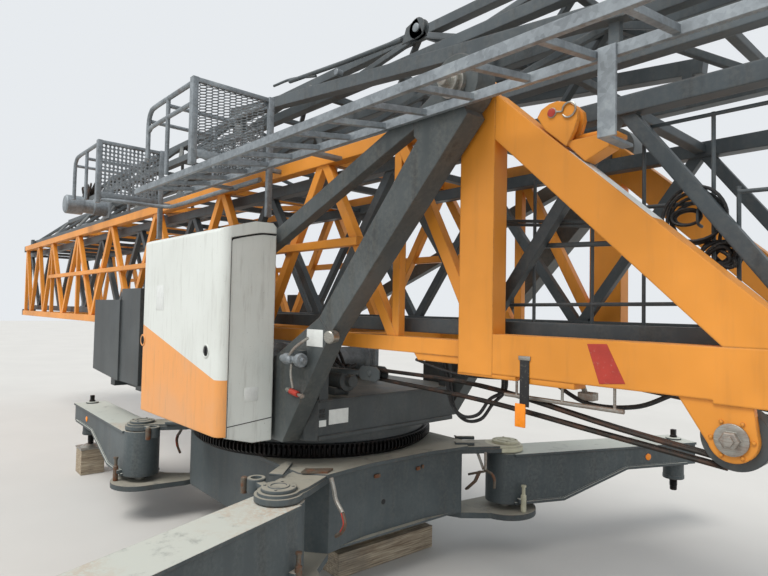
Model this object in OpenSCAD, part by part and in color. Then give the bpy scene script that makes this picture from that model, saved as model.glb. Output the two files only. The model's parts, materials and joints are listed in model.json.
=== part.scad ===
// Folded fast-erecting tower crane on a four-arm undercarriage.
// Origin: slewing axis at ground level. +X: tower foot, -X: tower head, +Z: up. Millimetres.

/* [Undercarriage] */
// Height of the deck plate's top
deck_z = 775; // [700:5:850]
// Thickness of the deck plate
deck_t = 25; // [15:5:40]
// Height of the frame's underside, where the timbers carry it
frame_z = 300; // [260:5:340]
// Thickness of the webs and of the bottom plate
web_t = 20; // [10:2:30]
// Distance from the centre to the front and rear faces
frame_x = 1000; // [940:10:1060]
// Distance from the centre to the side faces
frame_y = 700; // [640:10:740]
// Turn of the undercarriage under the platform, seen from above
under_turn = -2; // [-5:1:5]
// Outrigger pivots, along the crane
pivot_x = 1130; // [1100:5:1180]
// Outrigger pivots, across the crane
pivot_y = 970; // [930:5:1000]
// Radius of the upper clevis plates' round ends
clevis_r = 132; // [120:2:150]
// How far the upper clevis plates reach below the deck plate
clevis_t = 32; // [20:2:40]
// How far the upper layer of those plates lies inside the lower one
clevis_step = 16; // [10:2:24]
// How far that upper layer lies below the deck plate's top
clevis_drop = 9; // [4:1:14]
// Radius of the lower clevis plates' round ends
lower_clevis_r = 230; // [200:5:250]
// Thickness of the lower clevis plates
lower_clevis_t = 40; // [30:5:50]
// Radius of the outrigger pins
pivot_pin_r = 38; // [30:1:50]
// Radius of the caps on the outrigger pins
pivot_cap_r = 95; // [70:5:105]
// Height of those caps
pivot_cap_h = 18; // [10:2:24]

/* [Outriggers] */
// Distance from the pivot to the spindle
arm_len = 1600; // [1500:20:1800]
// Length of the arm past the spindle
arm_end = 90; // [80:5:140]
// Depth of the arm at its root
arm_depth = 365; // [330:5:380]
// Depth of the arm at its tip
arm_tip_depth = 175; // [150:5:190]
// Length of the level underside from the pivot
arm_level = 420; // [360:20:520]
// Length from the pivot to where the taper ends
arm_taper_end = 1000; // [900:20:1400]
// Width of the arm at its root
arm_root_w = 285; // [260:5:300]
// Width of the arm at its tip
arm_tip_w = 275; // [250:5:290]
// How far the flanges stand past the webs
arm_lip = 14; // [8:2:20]
// Thickness of the flanges
arm_flange_t = 18; // [10:2:24]
// Clearance between the arms and the upper clevis plates
arm_gap = 8; // [4:1:12]
// Radius of the spindle housing
housing_r = 80; // [65:5:90]
// Height of the spindle housing
housing_h = 145; // [120:5:180]
// Radius of the screw spindle
spindle_r = 32; // [25:1:40]
// Length of the screw spindle
spindle_len = 500; // [440:10:540]
// Turn of the front right arm, seen from above, from +X
front_right_turn = -69; // [-90:1:0]
// Turn of the front left arm
front_left_turn = 68; // [0:1:90]
// Turn of the rear right arm
rear_right_turn = 180; // [180:1:270]
// Turn of the rear left arm
rear_left_turn = 180; // [90:1:180]

/* [Timbers] */
// Distance from the centre to the timber's outer face
timber_x = 820; // [760:10:900]
// Width of the lower timbers
timber_w = 180; // [140:10:220]
// Length of the lower timbers
timber_len = 850; // [700:50:1000]
// How far the lower timbers lie towards the left side
timber_shift = 95; // [0:5:120]
// Height of the lower timbers
timber_h = 155; // [120:5:180]
// Length of the packing boards
board_len = 480; // [300:20:600]
// Width of the packing boards
board_w = 470; // [300:10:500]
// How far the packing boards lie towards the left side
board_shift = 45; // [0:5:60]
// Side of the foot blocks
block_w = 220; // [200:10:320]
// Height of the foot blocks
block_h = 250; // [200:10:270]
// Thickness of the foot pads' plates
pad_t = 15; // [10:1:20]
// Height of the foot pads' raised centres
pad_rise = 25; // [15:5:30]

/* [Slewing ring] */
// Tip radius of the ring gear
gear_r = 915; // [880:5:940]
// Height of the ring gear
gear_h = 80; // [60:5:100]
// Radius of the ring's base and of its race
race_r = 870; // [840:5:880]
// Inner radius of the ring
ring_bore_r = 740; // [680:10:780]
// Height of the ring's base
ring_base_h = 15; // [10:1:25]
// Height of the race above the gear
race_h = 65; // [50:5:80]

/* [Platform] */
// Height of the platform's box
platform_h = 250; // [200:10:300]
// Distance from the centre to the platform's front face
platform_front = 900; // [880:10:940]
// Distance from the centre to the platform's side faces
platform_y = 680; // [660:5:690]
// Distance from the centre to the end of the rear beams
rear_end = 2430; // [2200:20:2600]
// Width of the rear beams
rear_beam_w = 160; // [120:10:200]
// Height of the rear beams
rear_beam_h = 160; // [120:10:200]

// Height of the rear side boxes' underside
side_box_z = 1060; // [1040:5:1090]
// Height of the rear side boxes
side_box_h = 730; // [650:10:780]
// How much higher the front box of each pair stands
side_box_rise = 100; // [60:10:140]
// Thickness of the rear side boxes
side_box_t = 160; // [120:5:200]
// Seam between the two boxes of each pair, behind the slewing axis
side_box_seam = 1690; // [1600:10:1800]
// Front end of the rear side boxes, behind the slewing axis
side_box_x = 1220; // [1150:10:1300]
// Radius of the winch drums
drum_r = 95; // [80:5:110]
// Radius of the drums' flanges
flange_r = 145; // [125:5:150]
// Thickness of the drums' flanges
flange_t = 30; // [15:5:35]
// Distance of the drums' cheeks from the middle
cheek_y = 390; // [370:5:400]
// Thickness of the drums' cheeks
cheek_t = 40; // [20:5:45]
// Length of the drums' cheeks
cheek_l = 340; // [300:10:380]
// Height of the drums' cheeks
cheek_h = 240; // [220:10:260]
// Height of the drums' shafts above the platform
drum_rise = 410; // [390:5:430]

/* [A-frame] */
// Height of the tower hinge
hinge_z = 2760; // [2740:5:2800]
// Distance of the tower hinge in front of the slewing axis
hinge_x = 2120; // [2080:5:2140]
// Distance from the middle to the A-frame's inner faces
a_inner = 680; // [670:2:700]
// Thickness of the legs
a_thick = 120; // [100:5:140]
// Distance of the main legs' front bend in front of the slewing axis
leg_bend_x = 1240; // [1200:5:1280]
// Height of that bend
leg_bend_z = 1600; // [1560:5:1640]
// Depth of the main legs above the bend
leg_depth = 136; // [120:2:160]
// Depth of the main legs at their lower ends, along the crane
leg_foot_depth = 140; // [120:5:160]
// Depth of the rear struts
strut_depth = 95; // [80:5:110]
// Thickness of the rear struts
strut_t = 62; // [50:2:80]
// Rear end of the plates at the tower hinge
gusset_x = 1870; // [1840:10:1900]
// Front edge of the main legs' lower ends
leg_foot_x = 790; // [770:5:800]
// Place of the rear struts' lower ends, behind the slewing axis
strut_foot_x = 1800; // [1700:10:1900]
// Height of the rear struts' lower ends
strut_foot_z = 1228; // [1200:2:1250]
// Rear end of the plates at the main legs' feet
leg_plate_x = 450; // [400:10:520]
// Thickness of the plates at the main legs' feet
leg_plate_t = 30; // [15:5:40]
// Radius of the ears round the tower hinge
ear_r = 135; // [120:5:150]
// Radius of the hinge pins
hinge_pin_r = 40; // [30:2:50]

/* [Cabinet] */
// Rear end of the cabinet
cabinet_x0 = -535; // [-600:5:-450]
// Front end of the cabinet
cabinet_x1 = 720; // [700:5:740]
// Outer face of the cabinet, from the middle
cabinet_y = 1190; // [1150:5:1250]
// Inner face of the cabinet, from the middle
cabinet_back = 830; // [820:5:850]
// Height of the cabinet's underside
cabinet_z = 1010; // [990:5:1050]
// Height of the cabinet
cabinet_h = 1190; // [1100:10:1250]
// Radius of the cabinet's upright edges
cabinet_r = 60; // [40:5:90]
// Thickness of the hood's front
hood_t = 56; // [40:2:60]
// Seam between the hood and the housing
seam = 3; // [2:1:6]
// How far the hood's cap sits below the cabinet's full height
cap_t = 4; // [0:1:10]
// Thickness of the hood's sloped cap
cap_h = 70; // [60:2:76]
// How far the hood's hinges stand inwards of the cabinet's inner face
hinge_inset = 9; // [8:1:10]
// How far the hood's hinges stand above the cabinet's full height
hinge_rise = 32; // [28:1:36]
// Radius of the hood's hinge pins
hinge_rod_r = 6; // [4:1:8]
// Length of the hood's hinge pins
hinge_rod_l = 132; // [120:2:150]
// Thickness of the hinge plates on the housing
hinge_plate_t = 12; // [8:1:14]
// Length of the skirt under the housing
skirt_h = 70; // [60:5:75]
// Thickness of the housing's sides at its opening
cabinet_wall = 40; // [30:2:50]

/* [Tower] */
// Half of the tower's width
tower_y = 600; // [580:5:620]
// Height of the tower's underside
tower_z0 = 1530; // [1500:5:1540]
// Height of the tower's top side
tower_z1 = 2730; // [2700:5:2740]
// Side of the square chords
chord = 80; // [60:5:90]
// Width of the lattice bars
brace = 62; // [50:2:70]
// Thickness of the lattice bars, across the tower
brace_t = 50; // [40:5:60]
// Length of one main bay
bay = 1390; // [1350:10:1400]
// Number of main bays
bays = 5; // [5]
// Length of one head bay
head_bay = 900; // [880:10:920]
// Place of the first top node, in front of the slewing axis
first_node = 840; // [800:10:880]
// Height of the mid rail
rail_z = 2145; // [2100:5:2200]
// Front end of the mid rail
rail_end = 1226; // [1180:2:1260]
// Rear end of the plates under the lower chords at the foot
shoe_x = 1685; // [1650:5:1720]

/* [Tower foot] */
// Rear face of the portal posts
post_x = 2040; // [2020:5:2060]
// Length of the portal posts, along the tower
post_l = 195; // [180:5:200]
// Thickness of the portal posts, across the tower
post_t = 95; // [80:5:100]
// Half of the foot's width
foot_y = 652; // [640:2:660]
// Height of the foot beams' underside
foot_z = 1475; // [1460:5:1490]
// Height of the foot beams
foot_h = 175; // [160:5:190]
// Rear end of the foot beams' deeper ends
box_x = 3126; // [3080:2:3160]
// How far those ends reach below the foot beams
box_drop = 12; // [8:1:20]
// Height of the foot diagonals' upper ends
diagonal_z = 2730; // [2700:5:2730]
// Depth of the foot diagonals at their upper ends
diagonal_w = 210; // [180:10:280]
// Rear end of the foot diagonals' lower ends
diagonal_x = 3155; // [3120:5:3200]
// Front end of the foot
foot_end = 3420; // [3380:10:3460]
// Place of the erection sheaves, in front of the slewing axis
sheave_x = 3180; // [3150:10:3200]
// Height of the erection sheaves' shafts
sheave_z = 1355; // [1340:5:1370]
// Radius of the erection sheaves
sheave_r = 105; // [95:5:105]
// Radius of the lugs that hold the sheaves
lug_r = 75; // [60:5:90]
// Side of the bundle of erection ropes
rope_w = 16; // [10:1:20]
// Height of the erection ropes at the platform
rope_z = 1370; // [1340:5:1400]
// Side of the posts on the platform that hold the ropes
rope_post = 70; // [50:5:90]

/* [Inner tower] */
// Half of the inner tower's width
inner_y = 480; // [470:2:490]
// Height of the inner tower's underside
inner_z0 = 1630; // [1625:1:1640]
// Height of the inner tower's top side
inner_z1 = 2630; // [2620:1:2635]
// Front end of the inner tower
inner_x1 = 3750; // [3600:10:3760]
// Rear end of the inner tower
inner_x0 = -8300; // [-8360:10:-8280]
// Side of the inner tower's chords
inner_chord = 75; // [60:5:80]
// Width of the inner tower's lattice bars
inner_brace = 56; // [50:2:60]
// Length of half a bay of the inner tower
inner_half_bay = 680; // [640:10:720]
// Place of the first lower node of the inner tower
inner_node = 3400; // [3350:10:3450]

/* [Jib] */
// Half of the jib's width
jib_y = 420; // [380:10:450]
// Height of the jib's lower chords
jib_z0 = 2830; // [2820:5:2850]
// Height of the first jib section
jib_h1 = 360; // [340:10:400]
// Height of the second jib section
jib_h2 = 340; // [320:10:380]
// Tip of the folded second section
jib_tip_x = -6000; // [-6200:50:-5800]
// Side of the jib's chords
jib_chord = 65; // [50:5:70]
// Rear end of the bars beside the folded jib
strut_x0 = -700; // [-900:20:-500]
// Front end of the bars beside the folded jib
strut_x1 = 2740; // [2600:20:2800]
// Height of those bars at their front end
strut_z = 3015; // [2990:5:3040]
// Length of half a bay of the jib
jib_half_bay = 620; // [560:10:700]

/* [Ladder] */
// Distance of the ladder's outer rail from the middle
ladder_y = 1215; // [1200:5:1225]
// Head end of the ladder
ladder_x0 = -700; // [-800:10:-600]
// Foot end of the ladder
ladder_x1 = 3449; // [3400:1:3500]
// Width of the ladder
ladder_w = 385; // [370:5:390]
// How much higher the inner rail lies
ladder_rise = 57; // [40:1:58]
// Height of the ladder's rails
ladder_z = 2605; // [2595:5:2612]
// Thickness of the ladder's rails
rail_t = 22; // [16:1:28]
// Height of the ladder's rails
rail_h = 42; // [36:2:42]
// Rung pitch
rung_pitch = 278; // [270:2:300]
// Place of the ladder's hanger at the foot
hanger_x = 2820; // [2800:5:2850]
// Width of the ladder's hanger
hanger_w = 66; // [50:2:80]
// Thickness of the ladder's hanger
hanger_t = 12; // [8:1:16]
// Height of the ladder's hanger at its lower end
hanger_z = 2362; // [2350:2:2380]
// Outer edge of the service platforms' floors, from the middle
panel_y = 1240; // [1200:10:1260]
// Inner edge of those floors, from the middle
panel_inner = 698; // [690:2:704]
// Thickness of the folded floors
panel_t = 20; // [16:1:24]
// Height of the folded floors
panel_h = 492; // [480:2:510]
// Length of the guard rails
guard_l = 800; // [700:20:900]
// Radius of the guard rails
guard_r = 17; // [14:1:20]
// Radius of the guard rails' posts
guard_post_r = 16; // [12:1:18]
// Side of the rungs
rung_w = 26; // [20:1:30]

/* [Hidden] */
ring_z = deck_z + 0.2;
hood_hinges = [-350, 300];
hood_hinge_y = hinge_inset - cabinet_back;
hood_hinge_z = cabinet_z + cabinet_h + hinge_rise;
cabinet_top = cabinet_z + cabinet_h - cap_t;
cabinet_front = hood_t - cabinet_y + seam;
cap_bend_y = -cabinet_back - 110;
cabinet_brackets = [cabinet_x0 + 120, cabinet_x0 + 790];
platform_places = [370, -1560];
ladder_brackets = [1000, -300];
rope_y = 73 - foot_y;
gap = 0.3;
pin_gap = 0.1;
grey = [0.30, 0.33, 0.34];
yellow = [0.88, 0.58, 0.22];
zinc = [0.52, 0.55, 0.57];
wood = [0.47, 0.41, 0.34];
winch_places = [100, -520];
race_z = deck_z + ring_base_h + gear_h + gap;
platform_z = race_z + race_h;
winch_z = platform_z + drum_rise - gap;
clevis_z = deck_z - deck_t - clevis_t;
clevis_top = deck_z - clevis_drop;
lower_clevis_z = frame_z - lower_clevis_t;
arm_top = clevis_z - arm_gap;
arm_z = arm_top - arm_depth;
tower_x0 = first_node - bays * bay - 2 * head_bay;
leg_bend = [leg_bend_x, leg_bend_z];
leg_head = [hinge_x + 80, hinge_z - 150];
leg_side = [leg_head[0] - leg_bend_x, leg_head[1] - leg_bend_z];
leg_rear_bend = leg_bend + [-leg_side[1], leg_side[0] + 60] * leg_depth / norm(leg_side);
leg_plate_rear = leg_rear_bend[1] - 0.55 * (leg_rear_bend[0] - leg_plate_x);
strut_slope = (hinge_z - strut_foot_z) / (hinge_x + strut_foot_x);
pad_top = block_h + pad_t + pad_rise;
inner_bays = floor((inner_node - inner_x0 - 60) / inner_half_bay);
jib_pivot_x = inner_x0 + 90;
fold_x = inner_x1 - 40;
jib_step = (fold_x + 35 - jib_pivot_x) / floor((fold_x + 35 - jib_pivot_x) / jib_half_bay);
fold_z = jib_z0 + jib_h1 + 70;

// Straight bar from a to b: w across, d in the upright plane.
module bar(a, b, w, d) {
  v = b - a;
  len = norm(v);
  translate(a) rotate([0, acos(v[2] / len), atan2(v[1], v[0])])
    translate([-d / 2, -w / 2, 0]) cube([d, w, len]);
}

// Flat outline in the XZ plane, from y0 to y1.
module upright(y0, y1, points) {
  translate([0, y1, 0]) rotate([90, 0, 0]) linear_extrude(y1 - y0) polygon(points);
}

// Bar in the XZ plane from a to b, w wide, from y0 to y1.
module strip(a, b, w, y0, y1) {
  n = [a[1] - b[1], b[0] - a[0]] * w / 2 / norm(b - a);
  upright(y0, y1, [a - n, b - n, b + n, a + n]);
}

// Cylinder across the crane, from y0 to y1.
module cross_rod(x, z, y0, y1, r) {
  translate([x, y1, z]) rotate([90, 0, 0]) cylinder(r = r, h = y1 - y0, $fn = 48);
}

// The same thing on both sides.
module both_sides() {
  children();
  mirror([0, 1, 0]) children();
}

function frame_plan(i) = let (x = frame_x - i, y = frame_y - i, s = 260)
  [[x, s], [x + 50, y - 120], [x - 90, y], [s - x, y], [-x - 50, y - 120], [-x, s],
   [-x, -s], [-x - 50, 120 - y], [s - x, -y], [x - 90, -y], [x + 50, 120 - y], [x, -s]];

// Plate from the frame's corner out to one pivot.
module clevis_plate(sx, sy, z, t, r) {
  x = frame_x - 120;
  y = frame_y - 200;
  translate([0, 0, z]) linear_extrude(t) scale([sx, sy]) {
    translate([pivot_x, pivot_y]) circle(r = r, $fn = 64);
    polygon([[pivot_x + r, pivot_y], [pivot_x + r / 2, pivot_y - 150], [frame_x + 50, frame_y - 120], [x, y],
      [x - 20, frame_y], [pivot_x - r, pivot_y]]);
  }
}

// The undercarriage stands a little turned under the crane.
module turned() rotate([0, 0, under_turn]) children();

module undercarriage_frame() color(grey) turned() difference() {
  union() {
    translate([0, 0, deck_z - deck_t]) linear_extrude(deck_t) polygon(frame_plan(-30));
    difference() {
      translate([0, 0, frame_z]) linear_extrude(deck_z - deck_t - frame_z) polygon(frame_plan(0));
      translate([0, 0, frame_z + web_t]) linear_extrude(deck_z - deck_t - frame_z - web_t)
        polygon(frame_plan(web_t));
    }
    for (sx = [-1, 1], sy = [-1, 1]) {
      clevis_plate(sx, sy, clevis_z, clevis_t, clevis_r);
      clevis_plate(sx, sy, clevis_z, clevis_top - clevis_z, clevis_r - clevis_step);
      clevis_plate(sx, sy, lower_clevis_z, lower_clevis_t, lower_clevis_r);
    }
  }
  for (sx = [-1, 1], sy = [-1, 1]) translate([sx * pivot_x, sy * pivot_y, lower_clevis_z - 1])
    cylinder(r = pivot_pin_r + pin_gap, h = deck_z, $fn = 48);
  translate([0, 0, frame_z + web_t]) cylinder(r = ring_bore_r - 60, h = deck_z, $fn = 64);
}

module outrigger_pins() color(grey) turned() for (sx = [-1, 1], sy = [-1, 1])
  translate([sx * pivot_x, sy * pivot_y, 0]) {
    translate([0, 0, lower_clevis_z])
      cylinder(r = pivot_pin_r, h = clevis_top - lower_clevis_z, $fn = 48);
    translate([0, 0, clevis_top]) cylinder(r = pivot_cap_r, h = pivot_cap_h, $fn = 48);
  }

// Outrigger arm pointing along +X from its pivot at the origin.
module arm_shape() difference() {
  union() {
    intersection() {
      upright(-arm_root_w, arm_root_w, [[0, arm_z], [arm_level, arm_z],
        [arm_taper_end, arm_top - arm_tip_depth], [arm_len + arm_end, arm_top - arm_tip_depth],
        [arm_len + arm_end, arm_top], [0, arm_top]]);
      arm_plan(0);
    }
    intersection() {
      upright(-arm_root_w, arm_root_w, [[0, arm_z], [arm_level, arm_z],
        [arm_taper_end, arm_top - arm_tip_depth], [arm_len, arm_top - arm_tip_depth],
        [arm_len, arm_top - arm_tip_depth + arm_flange_t],
        [arm_taper_end, arm_top - arm_tip_depth + arm_flange_t],
        [arm_level, arm_z + arm_flange_t], [0, arm_z + arm_flange_t]]);
      arm_plan(arm_lip);
    }
    intersection() {
      translate([0, -arm_root_w, arm_top - arm_flange_t])
        cube([arm_len + arm_end, 2 * arm_root_w, arm_flange_t]);
      arm_plan(arm_lip);
    }
    translate([0, 0, arm_z]) cylinder(r = arm_root_w / 2, h = arm_depth, $fn = 64);
    translate([arm_len, 0, arm_top - arm_tip_depth - housing_h])
      cylinder(r = housing_r, h = housing_h + 1, $fn = 48);
  }
  translate([0, 0, arm_z - 1]) cylinder(r = pivot_pin_r + pin_gap, h = arm_depth + 2, $fn = 48);
  translate([arm_len, 0, arm_z]) cylinder(r = spindle_r + pin_gap, h = arm_depth + 1, $fn = 48);
}

module arm_plan(lip) translate([0, 0, arm_z - 1]) linear_extrude(arm_depth + 2)
  polygon([[0, -arm_root_w / 2 - lip], [arm_len + arm_end, -arm_tip_w / 2 - lip],
    [arm_len + arm_end, arm_tip_w / 2 + lip], [0, arm_root_w / 2 + lip]]);

module at_pivot(sx, sy, turn) turned() translate([sx * pivot_x, sy * pivot_y, 0])
  rotate([0, 0, turn]) children();

module outrigger(sx, sy, turn) color(grey) at_pivot(sx, sy, turn) arm_shape();

module spindle(sx, sy, turn) color([0.15, 0.15, 0.15]) at_pivot(sx, sy, turn)
  translate([arm_len, 0, pad_top + gap]) cylinder(r = spindle_r, h = spindle_len, $fn = 48);

module slewing_ring_gear() color([0.2, 0.2, 0.2]) difference() {
  union() {
    translate([0, 0, ring_z]) cylinder(r = race_r, h = deck_z + ring_base_h - ring_z, $fn = 96);
    translate([0, 0, deck_z + ring_base_h]) cylinder(r = gear_r, h = gear_h, $fn = 96);
  }
  translate([0, 0, deck_z - 1]) cylinder(r = ring_bore_r, h = ring_base_h + gear_h + 2, $fn = 96);
}

module timbers() color(wood) turned() for (side = [-1, 1]) scale([side, 1, 1]) {
  translate([timber_x - timber_w, timber_shift - timber_len / 2, 0]) cube([timber_w, timber_len, timber_h]);
  translate([timber_x - 70 - board_len, board_shift - board_w / 2, timber_h])
    cube([board_len, board_w, frame_z - timber_h]);
}

module at_rear_feet() for (s = [-1, 1])
  at_pivot(-1, s, s < 0 ? rear_right_turn : rear_left_turn) translate([arm_len, 0, 0]) children();

module foot_blocks() color(wood) at_rear_feet()
  translate([-block_w / 2, -block_w / 2, 0]) cube([block_w, block_w, block_h]);

module foot_pads() color(zinc) at_rear_feet() {
  translate([-block_w / 2 - 8, -block_w / 2 - 8, block_h]) cube([block_w + 16, block_w + 16, pad_t]);
  translate([0, 0, block_h + pad_t]) cylinder(r1 = 100, r2 = 50, h = pad_rise, $fn = 32);
}

module platform_frame() color(grey) {
  translate([0, 0, platform_z]) linear_extrude(platform_h)
    polygon([[platform_front, 60 - platform_y], [platform_front, platform_y - 60],
      [platform_front - 60, platform_y], [-platform_front, platform_y],
      [-platform_front, -platform_y], [platform_front - 60, -platform_y]]);
  both_sides() {
    translate([-rear_end, -platform_y, platform_z])
      cube([rear_end - platform_front + 10, rear_beam_w, rear_beam_h]);
    translate([platform_front - rope_post, rope_y - rope_post / 2, platform_z])
      cube([rope_post, rope_post, rope_z + rope_post / 2 - platform_z]);
    translate([-strut_foot_x - 100, -a_inner - a_thick + strut_t, platform_z])
      cube([250, 120, strut_foot_z + 75 - platform_z]);
  }
  for (x = cabinet_brackets) translate([x, -cabinet_back, cabinet_z])
    cube([60, cabinet_back - platform_y + 10, 60]);
  translate([-rear_end, -a_inner - a_thick, platform_z]) cube([120, 2 * (a_inner + a_thick), rear_beam_h]);
}

module slewing_race() color(grey) difference() {
  translate([0, 0, race_z]) cylinder(r = race_r, h = race_h, $fn = 96);
  translate([0, 0, race_z - 1]) cylinder(r = ring_bore_r, h = race_h + 2, $fn = 96);
}

module rear_side_boxes() color(grey) both_sides() {
  inner = -a_inner - a_thick;
  top = side_box_z + side_box_h;
  upright(inner - side_box_t - 15, inner, [[-rear_end, side_box_z + 50], [-side_box_seam, side_box_z],
    [-side_box_seam, top], [-rear_end, top]]);
  upright(inner - side_box_t, inner, [[-side_box_seam, side_box_z], [-side_box_x, side_box_z],
    [-side_box_x, top + side_box_rise], [-side_box_seam, top + side_box_rise]]);
}

module gusset_outline() polygon([[gusset_x, hinge_z - 75], [gusset_x, hinge_z - 182],
  [gusset_x + 140, hinge_z - 330], [hinge_x + 60, hinge_z - 60], [hinge_x, hinge_z + 60]]);

module leg_outline() polygon([[leg_foot_x, platform_z], leg_bend, leg_head, [hinge_x, hinge_z],
  [gusset_x + 10, hinge_z - 220], leg_rear_bend, [leg_foot_x - leg_foot_depth, platform_z]]);

module strut_outline() {
  n = [-strut_slope, 1] * strut_depth / 2 / norm([strut_slope, 1]);
  foot = [-strut_foot_x, strut_foot_z];
  head = foot + [gusset_x + 200 + strut_foot_x, (gusset_x + 200 + strut_foot_x) * strut_slope];
  polygon([foot - n, head - n, head + n, foot + n]);
}

module a_frame_side(y, thick) translate([0, y, 0]) rotate([90, 0, 0]) linear_extrude(thick) children();

module a_frame_legs() color(grey) both_sides() {
  a_frame_side(-a_inner, a_thick) difference() {
    union() {
      leg_outline();
      gusset_outline();
      translate([hinge_x, hinge_z]) circle(r = ear_r, $fn = 64);
    }
    translate([hinge_x, hinge_z]) circle(r = hinge_pin_r + pin_gap, $fn = 48);
  }
  upright(-a_inner - a_thick, -a_inner - a_thick + leg_plate_t,
    [[leg_plate_x, platform_z], [leg_foot_x, platform_z], leg_bend, leg_rear_bend,
     [leg_plate_x, leg_plate_rear]]);
}

module rear_struts() color(grey) both_sides()
  a_frame_side(strut_t - a_inner - a_thick, strut_t) difference() {
    strut_outline();
    gusset_outline();
    translate([gusset_x, platform_z]) square(2 * hinge_z);
  }

module tower_hinge_pins() color(zinc) both_sides() {
  cross_rod(hinge_x, hinge_z, -a_inner - a_thick - 40, -foot_y + post_t, hinge_pin_r);
  cross_rod(hinge_x, hinge_z, -a_inner - a_thick - 22, -a_inner - a_thick, 70);
}

// Flat outline in the YZ plane, from x0 to x1.
module across(x0, x1) translate([x0, 0, 0]) rotate([90, 0, 90]) linear_extrude(x1 - x0) children();

module cabinet_housing() color([0.77, 0.78, 0.77]) {
  difference() {
    across(cabinet_x0 + 10, cabinet_x1 - 8) polygon([[cabinet_front, cabinet_z - 25],
      [cap_bend_y - 20, cabinet_z - skirt_h], [-cabinet_back, cabinet_z - skirt_h],
      [-cabinet_back, cabinet_top - 2], [cap_bend_y, cabinet_top - 6], [cabinet_front, cabinet_top - 50]]);
    translate([cabinet_x0 + 10 + cabinet_wall, cabinet_front - 1, cabinet_z + 2 * cabinet_wall])
      cube([cabinet_x1 - cabinet_x0 - 18 - 2 * cabinet_wall, 1 - cabinet_back - cabinet_wall - cabinet_front,
        cabinet_h - 180]);
  }
  for (x = hood_hinges) {
    for (x1 = [x, x + hinge_rod_l - hinge_plate_t]) across(x1, x1 + hinge_plate_t) hinge_plate();
    translate([x, hood_hinge_y, hood_hinge_z]) rotate([0, 90, 0])
      cylinder(r = hinge_rod_r, h = hinge_rod_l, $fn = 24);
  }
}

module hinge_plate() {
  r = hinge_rod_r + 5;
  foot = cabinet_top - 60;
  polygon([[-cabinet_back - 20, foot], [hood_hinge_y + r, foot], [hood_hinge_y + r, hood_hinge_z],
    [hood_hinge_y - r, hood_hinge_z], [hood_hinge_y - r, cabinet_top - 4],
    [-cabinet_back - 20, cabinet_top - 6]]);
  translate([hood_hinge_y, hood_hinge_z]) circle(r = r, $fn = 24);
}

// The hood's front and its sloped cap, seen from the side.
module hood_outline() {
  back = hood_hinge_y - 14;
  front = hood_t - cabinet_y;
  polygon([[-cabinet_y, cabinet_z - 15], [front, cabinet_z - 15], [front, cabinet_top - 44],
    [cap_bend_y, cabinet_top + 3], [back, cabinet_top + 7], [back, cabinet_top + cap_h - 24],
    [back - 25, cabinet_top + cap_h], [cap_bend_y - 40, cabinet_top + cap_h - 2],
    [front + 10, cabinet_top + 28], [16 - cabinet_y, cabinet_top + 10], [-cabinet_y, cabinet_top - 8]]);
}

module cabinet_hood() color([0.77, 0.78, 0.77]) {
  knuckle_l = hinge_rod_l - 2 * hinge_plate_t - 2 * gap;
  knuckle_r = 2 * hinge_rod_r;
  intersection() {
    across(cabinet_x0, cabinet_x1) hood_outline();
    translate([0, 0, cabinet_z - 20]) linear_extrude(cabinet_h + 100) {
      translate([cabinet_x0, cabinet_r - cabinet_y])
        square([cabinet_x1 - cabinet_x0, cabinet_y - cabinet_r]);
      translate([cabinet_x0 + cabinet_r, -cabinet_y])
        square([cabinet_x1 - cabinet_x0 - 2 * cabinet_r, cabinet_y]);
      for (x = [cabinet_x0 + cabinet_r, cabinet_x1 - cabinet_r])
        translate([x, -cabinet_y + cabinet_r]) circle(r = cabinet_r, $fn = 48);
    }
  }
  for (x = hood_hinges) difference() {
    translate([x + hinge_plate_t + gap, hood_hinge_y, hood_hinge_z]) {
      translate([0, -26, -9]) cube([knuckle_l, 26, 18]);
      rotate([0, 90, 0]) cylinder(r = knuckle_r, h = knuckle_l, $fn = 24);
    }
    translate([x, hood_hinge_y, hood_hinge_z]) rotate([0, 90, 0])
      cylinder(r = hinge_rod_r + pin_gap, h = hinge_rod_l + 8, $fn = 24);
  }
}

// Nodes of the tower's side lattice, from the foot to the head.
top_nodes = concat([for (i = [0:bays]) first_node - i * bay],
  [first_node - bays * bay - head_bay, tower_x0]);
low_nodes = concat([first_node + bay / 2], [for (i = [0:bays - 1]) first_node - (i + 0.5) * bay],
  [first_node - bays * bay - head_bay / 2, first_node - bays * bay - 1.5 * head_bay]);

module tower_side() color(yellow) {
  y0 = -tower_y + (chord - brace_t) / 2;
  zl = tower_z0 + chord / 2;
  zt = tower_z1 - chord / 2;
  for (z = [tower_z0, tower_z1 - chord]) translate([tower_x0 - chord / 2, -tower_y, z])
    cube([post_x - tower_x0 + chord / 2, chord, chord]);
  for (i = [0:len(top_nodes) - 1]) {
    strip([low_nodes[i], zl], [top_nodes[i], zt], brace, y0, y0 + brace_t);
    if (i + 1 < len(low_nodes)) strip([low_nodes[i + 1], zl], [top_nodes[i], zt], brace, y0, y0 + brace_t);
  }
  strip([low_nodes[0], zl], [low_nodes[0], zt], brace - 8, y0 + 3, y0 + brace_t - 3);
  difference() {
    strip([low_nodes[0], zt], [post_x + 50, zl + 80], brace, y0, y0 + brace_t);
    translate([post_x, -tower_y, tower_z0]) cube([post_l, chord, tower_z1 - tower_z0]);
  }
  upright(-tower_y + 5, -tower_y + chord - 5, [[shoe_x, tower_z0 + 10], [shoe_x + 40, tower_z0 - 35],
    [post_x, tower_z0 - 35], [post_x, tower_z0 + 10]]);
  for (x = [top_nodes[4], top_nodes[5], tower_x0])
    strip([x, zl], [x, zt], brace - 8, y0 + 3, y0 + brace_t - 3);
  translate([top_nodes[5] - 24, -tower_y - 12, rail_z - 25]) cube([rail_end + 24 - top_nodes[5], 48, 50]);
}

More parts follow.
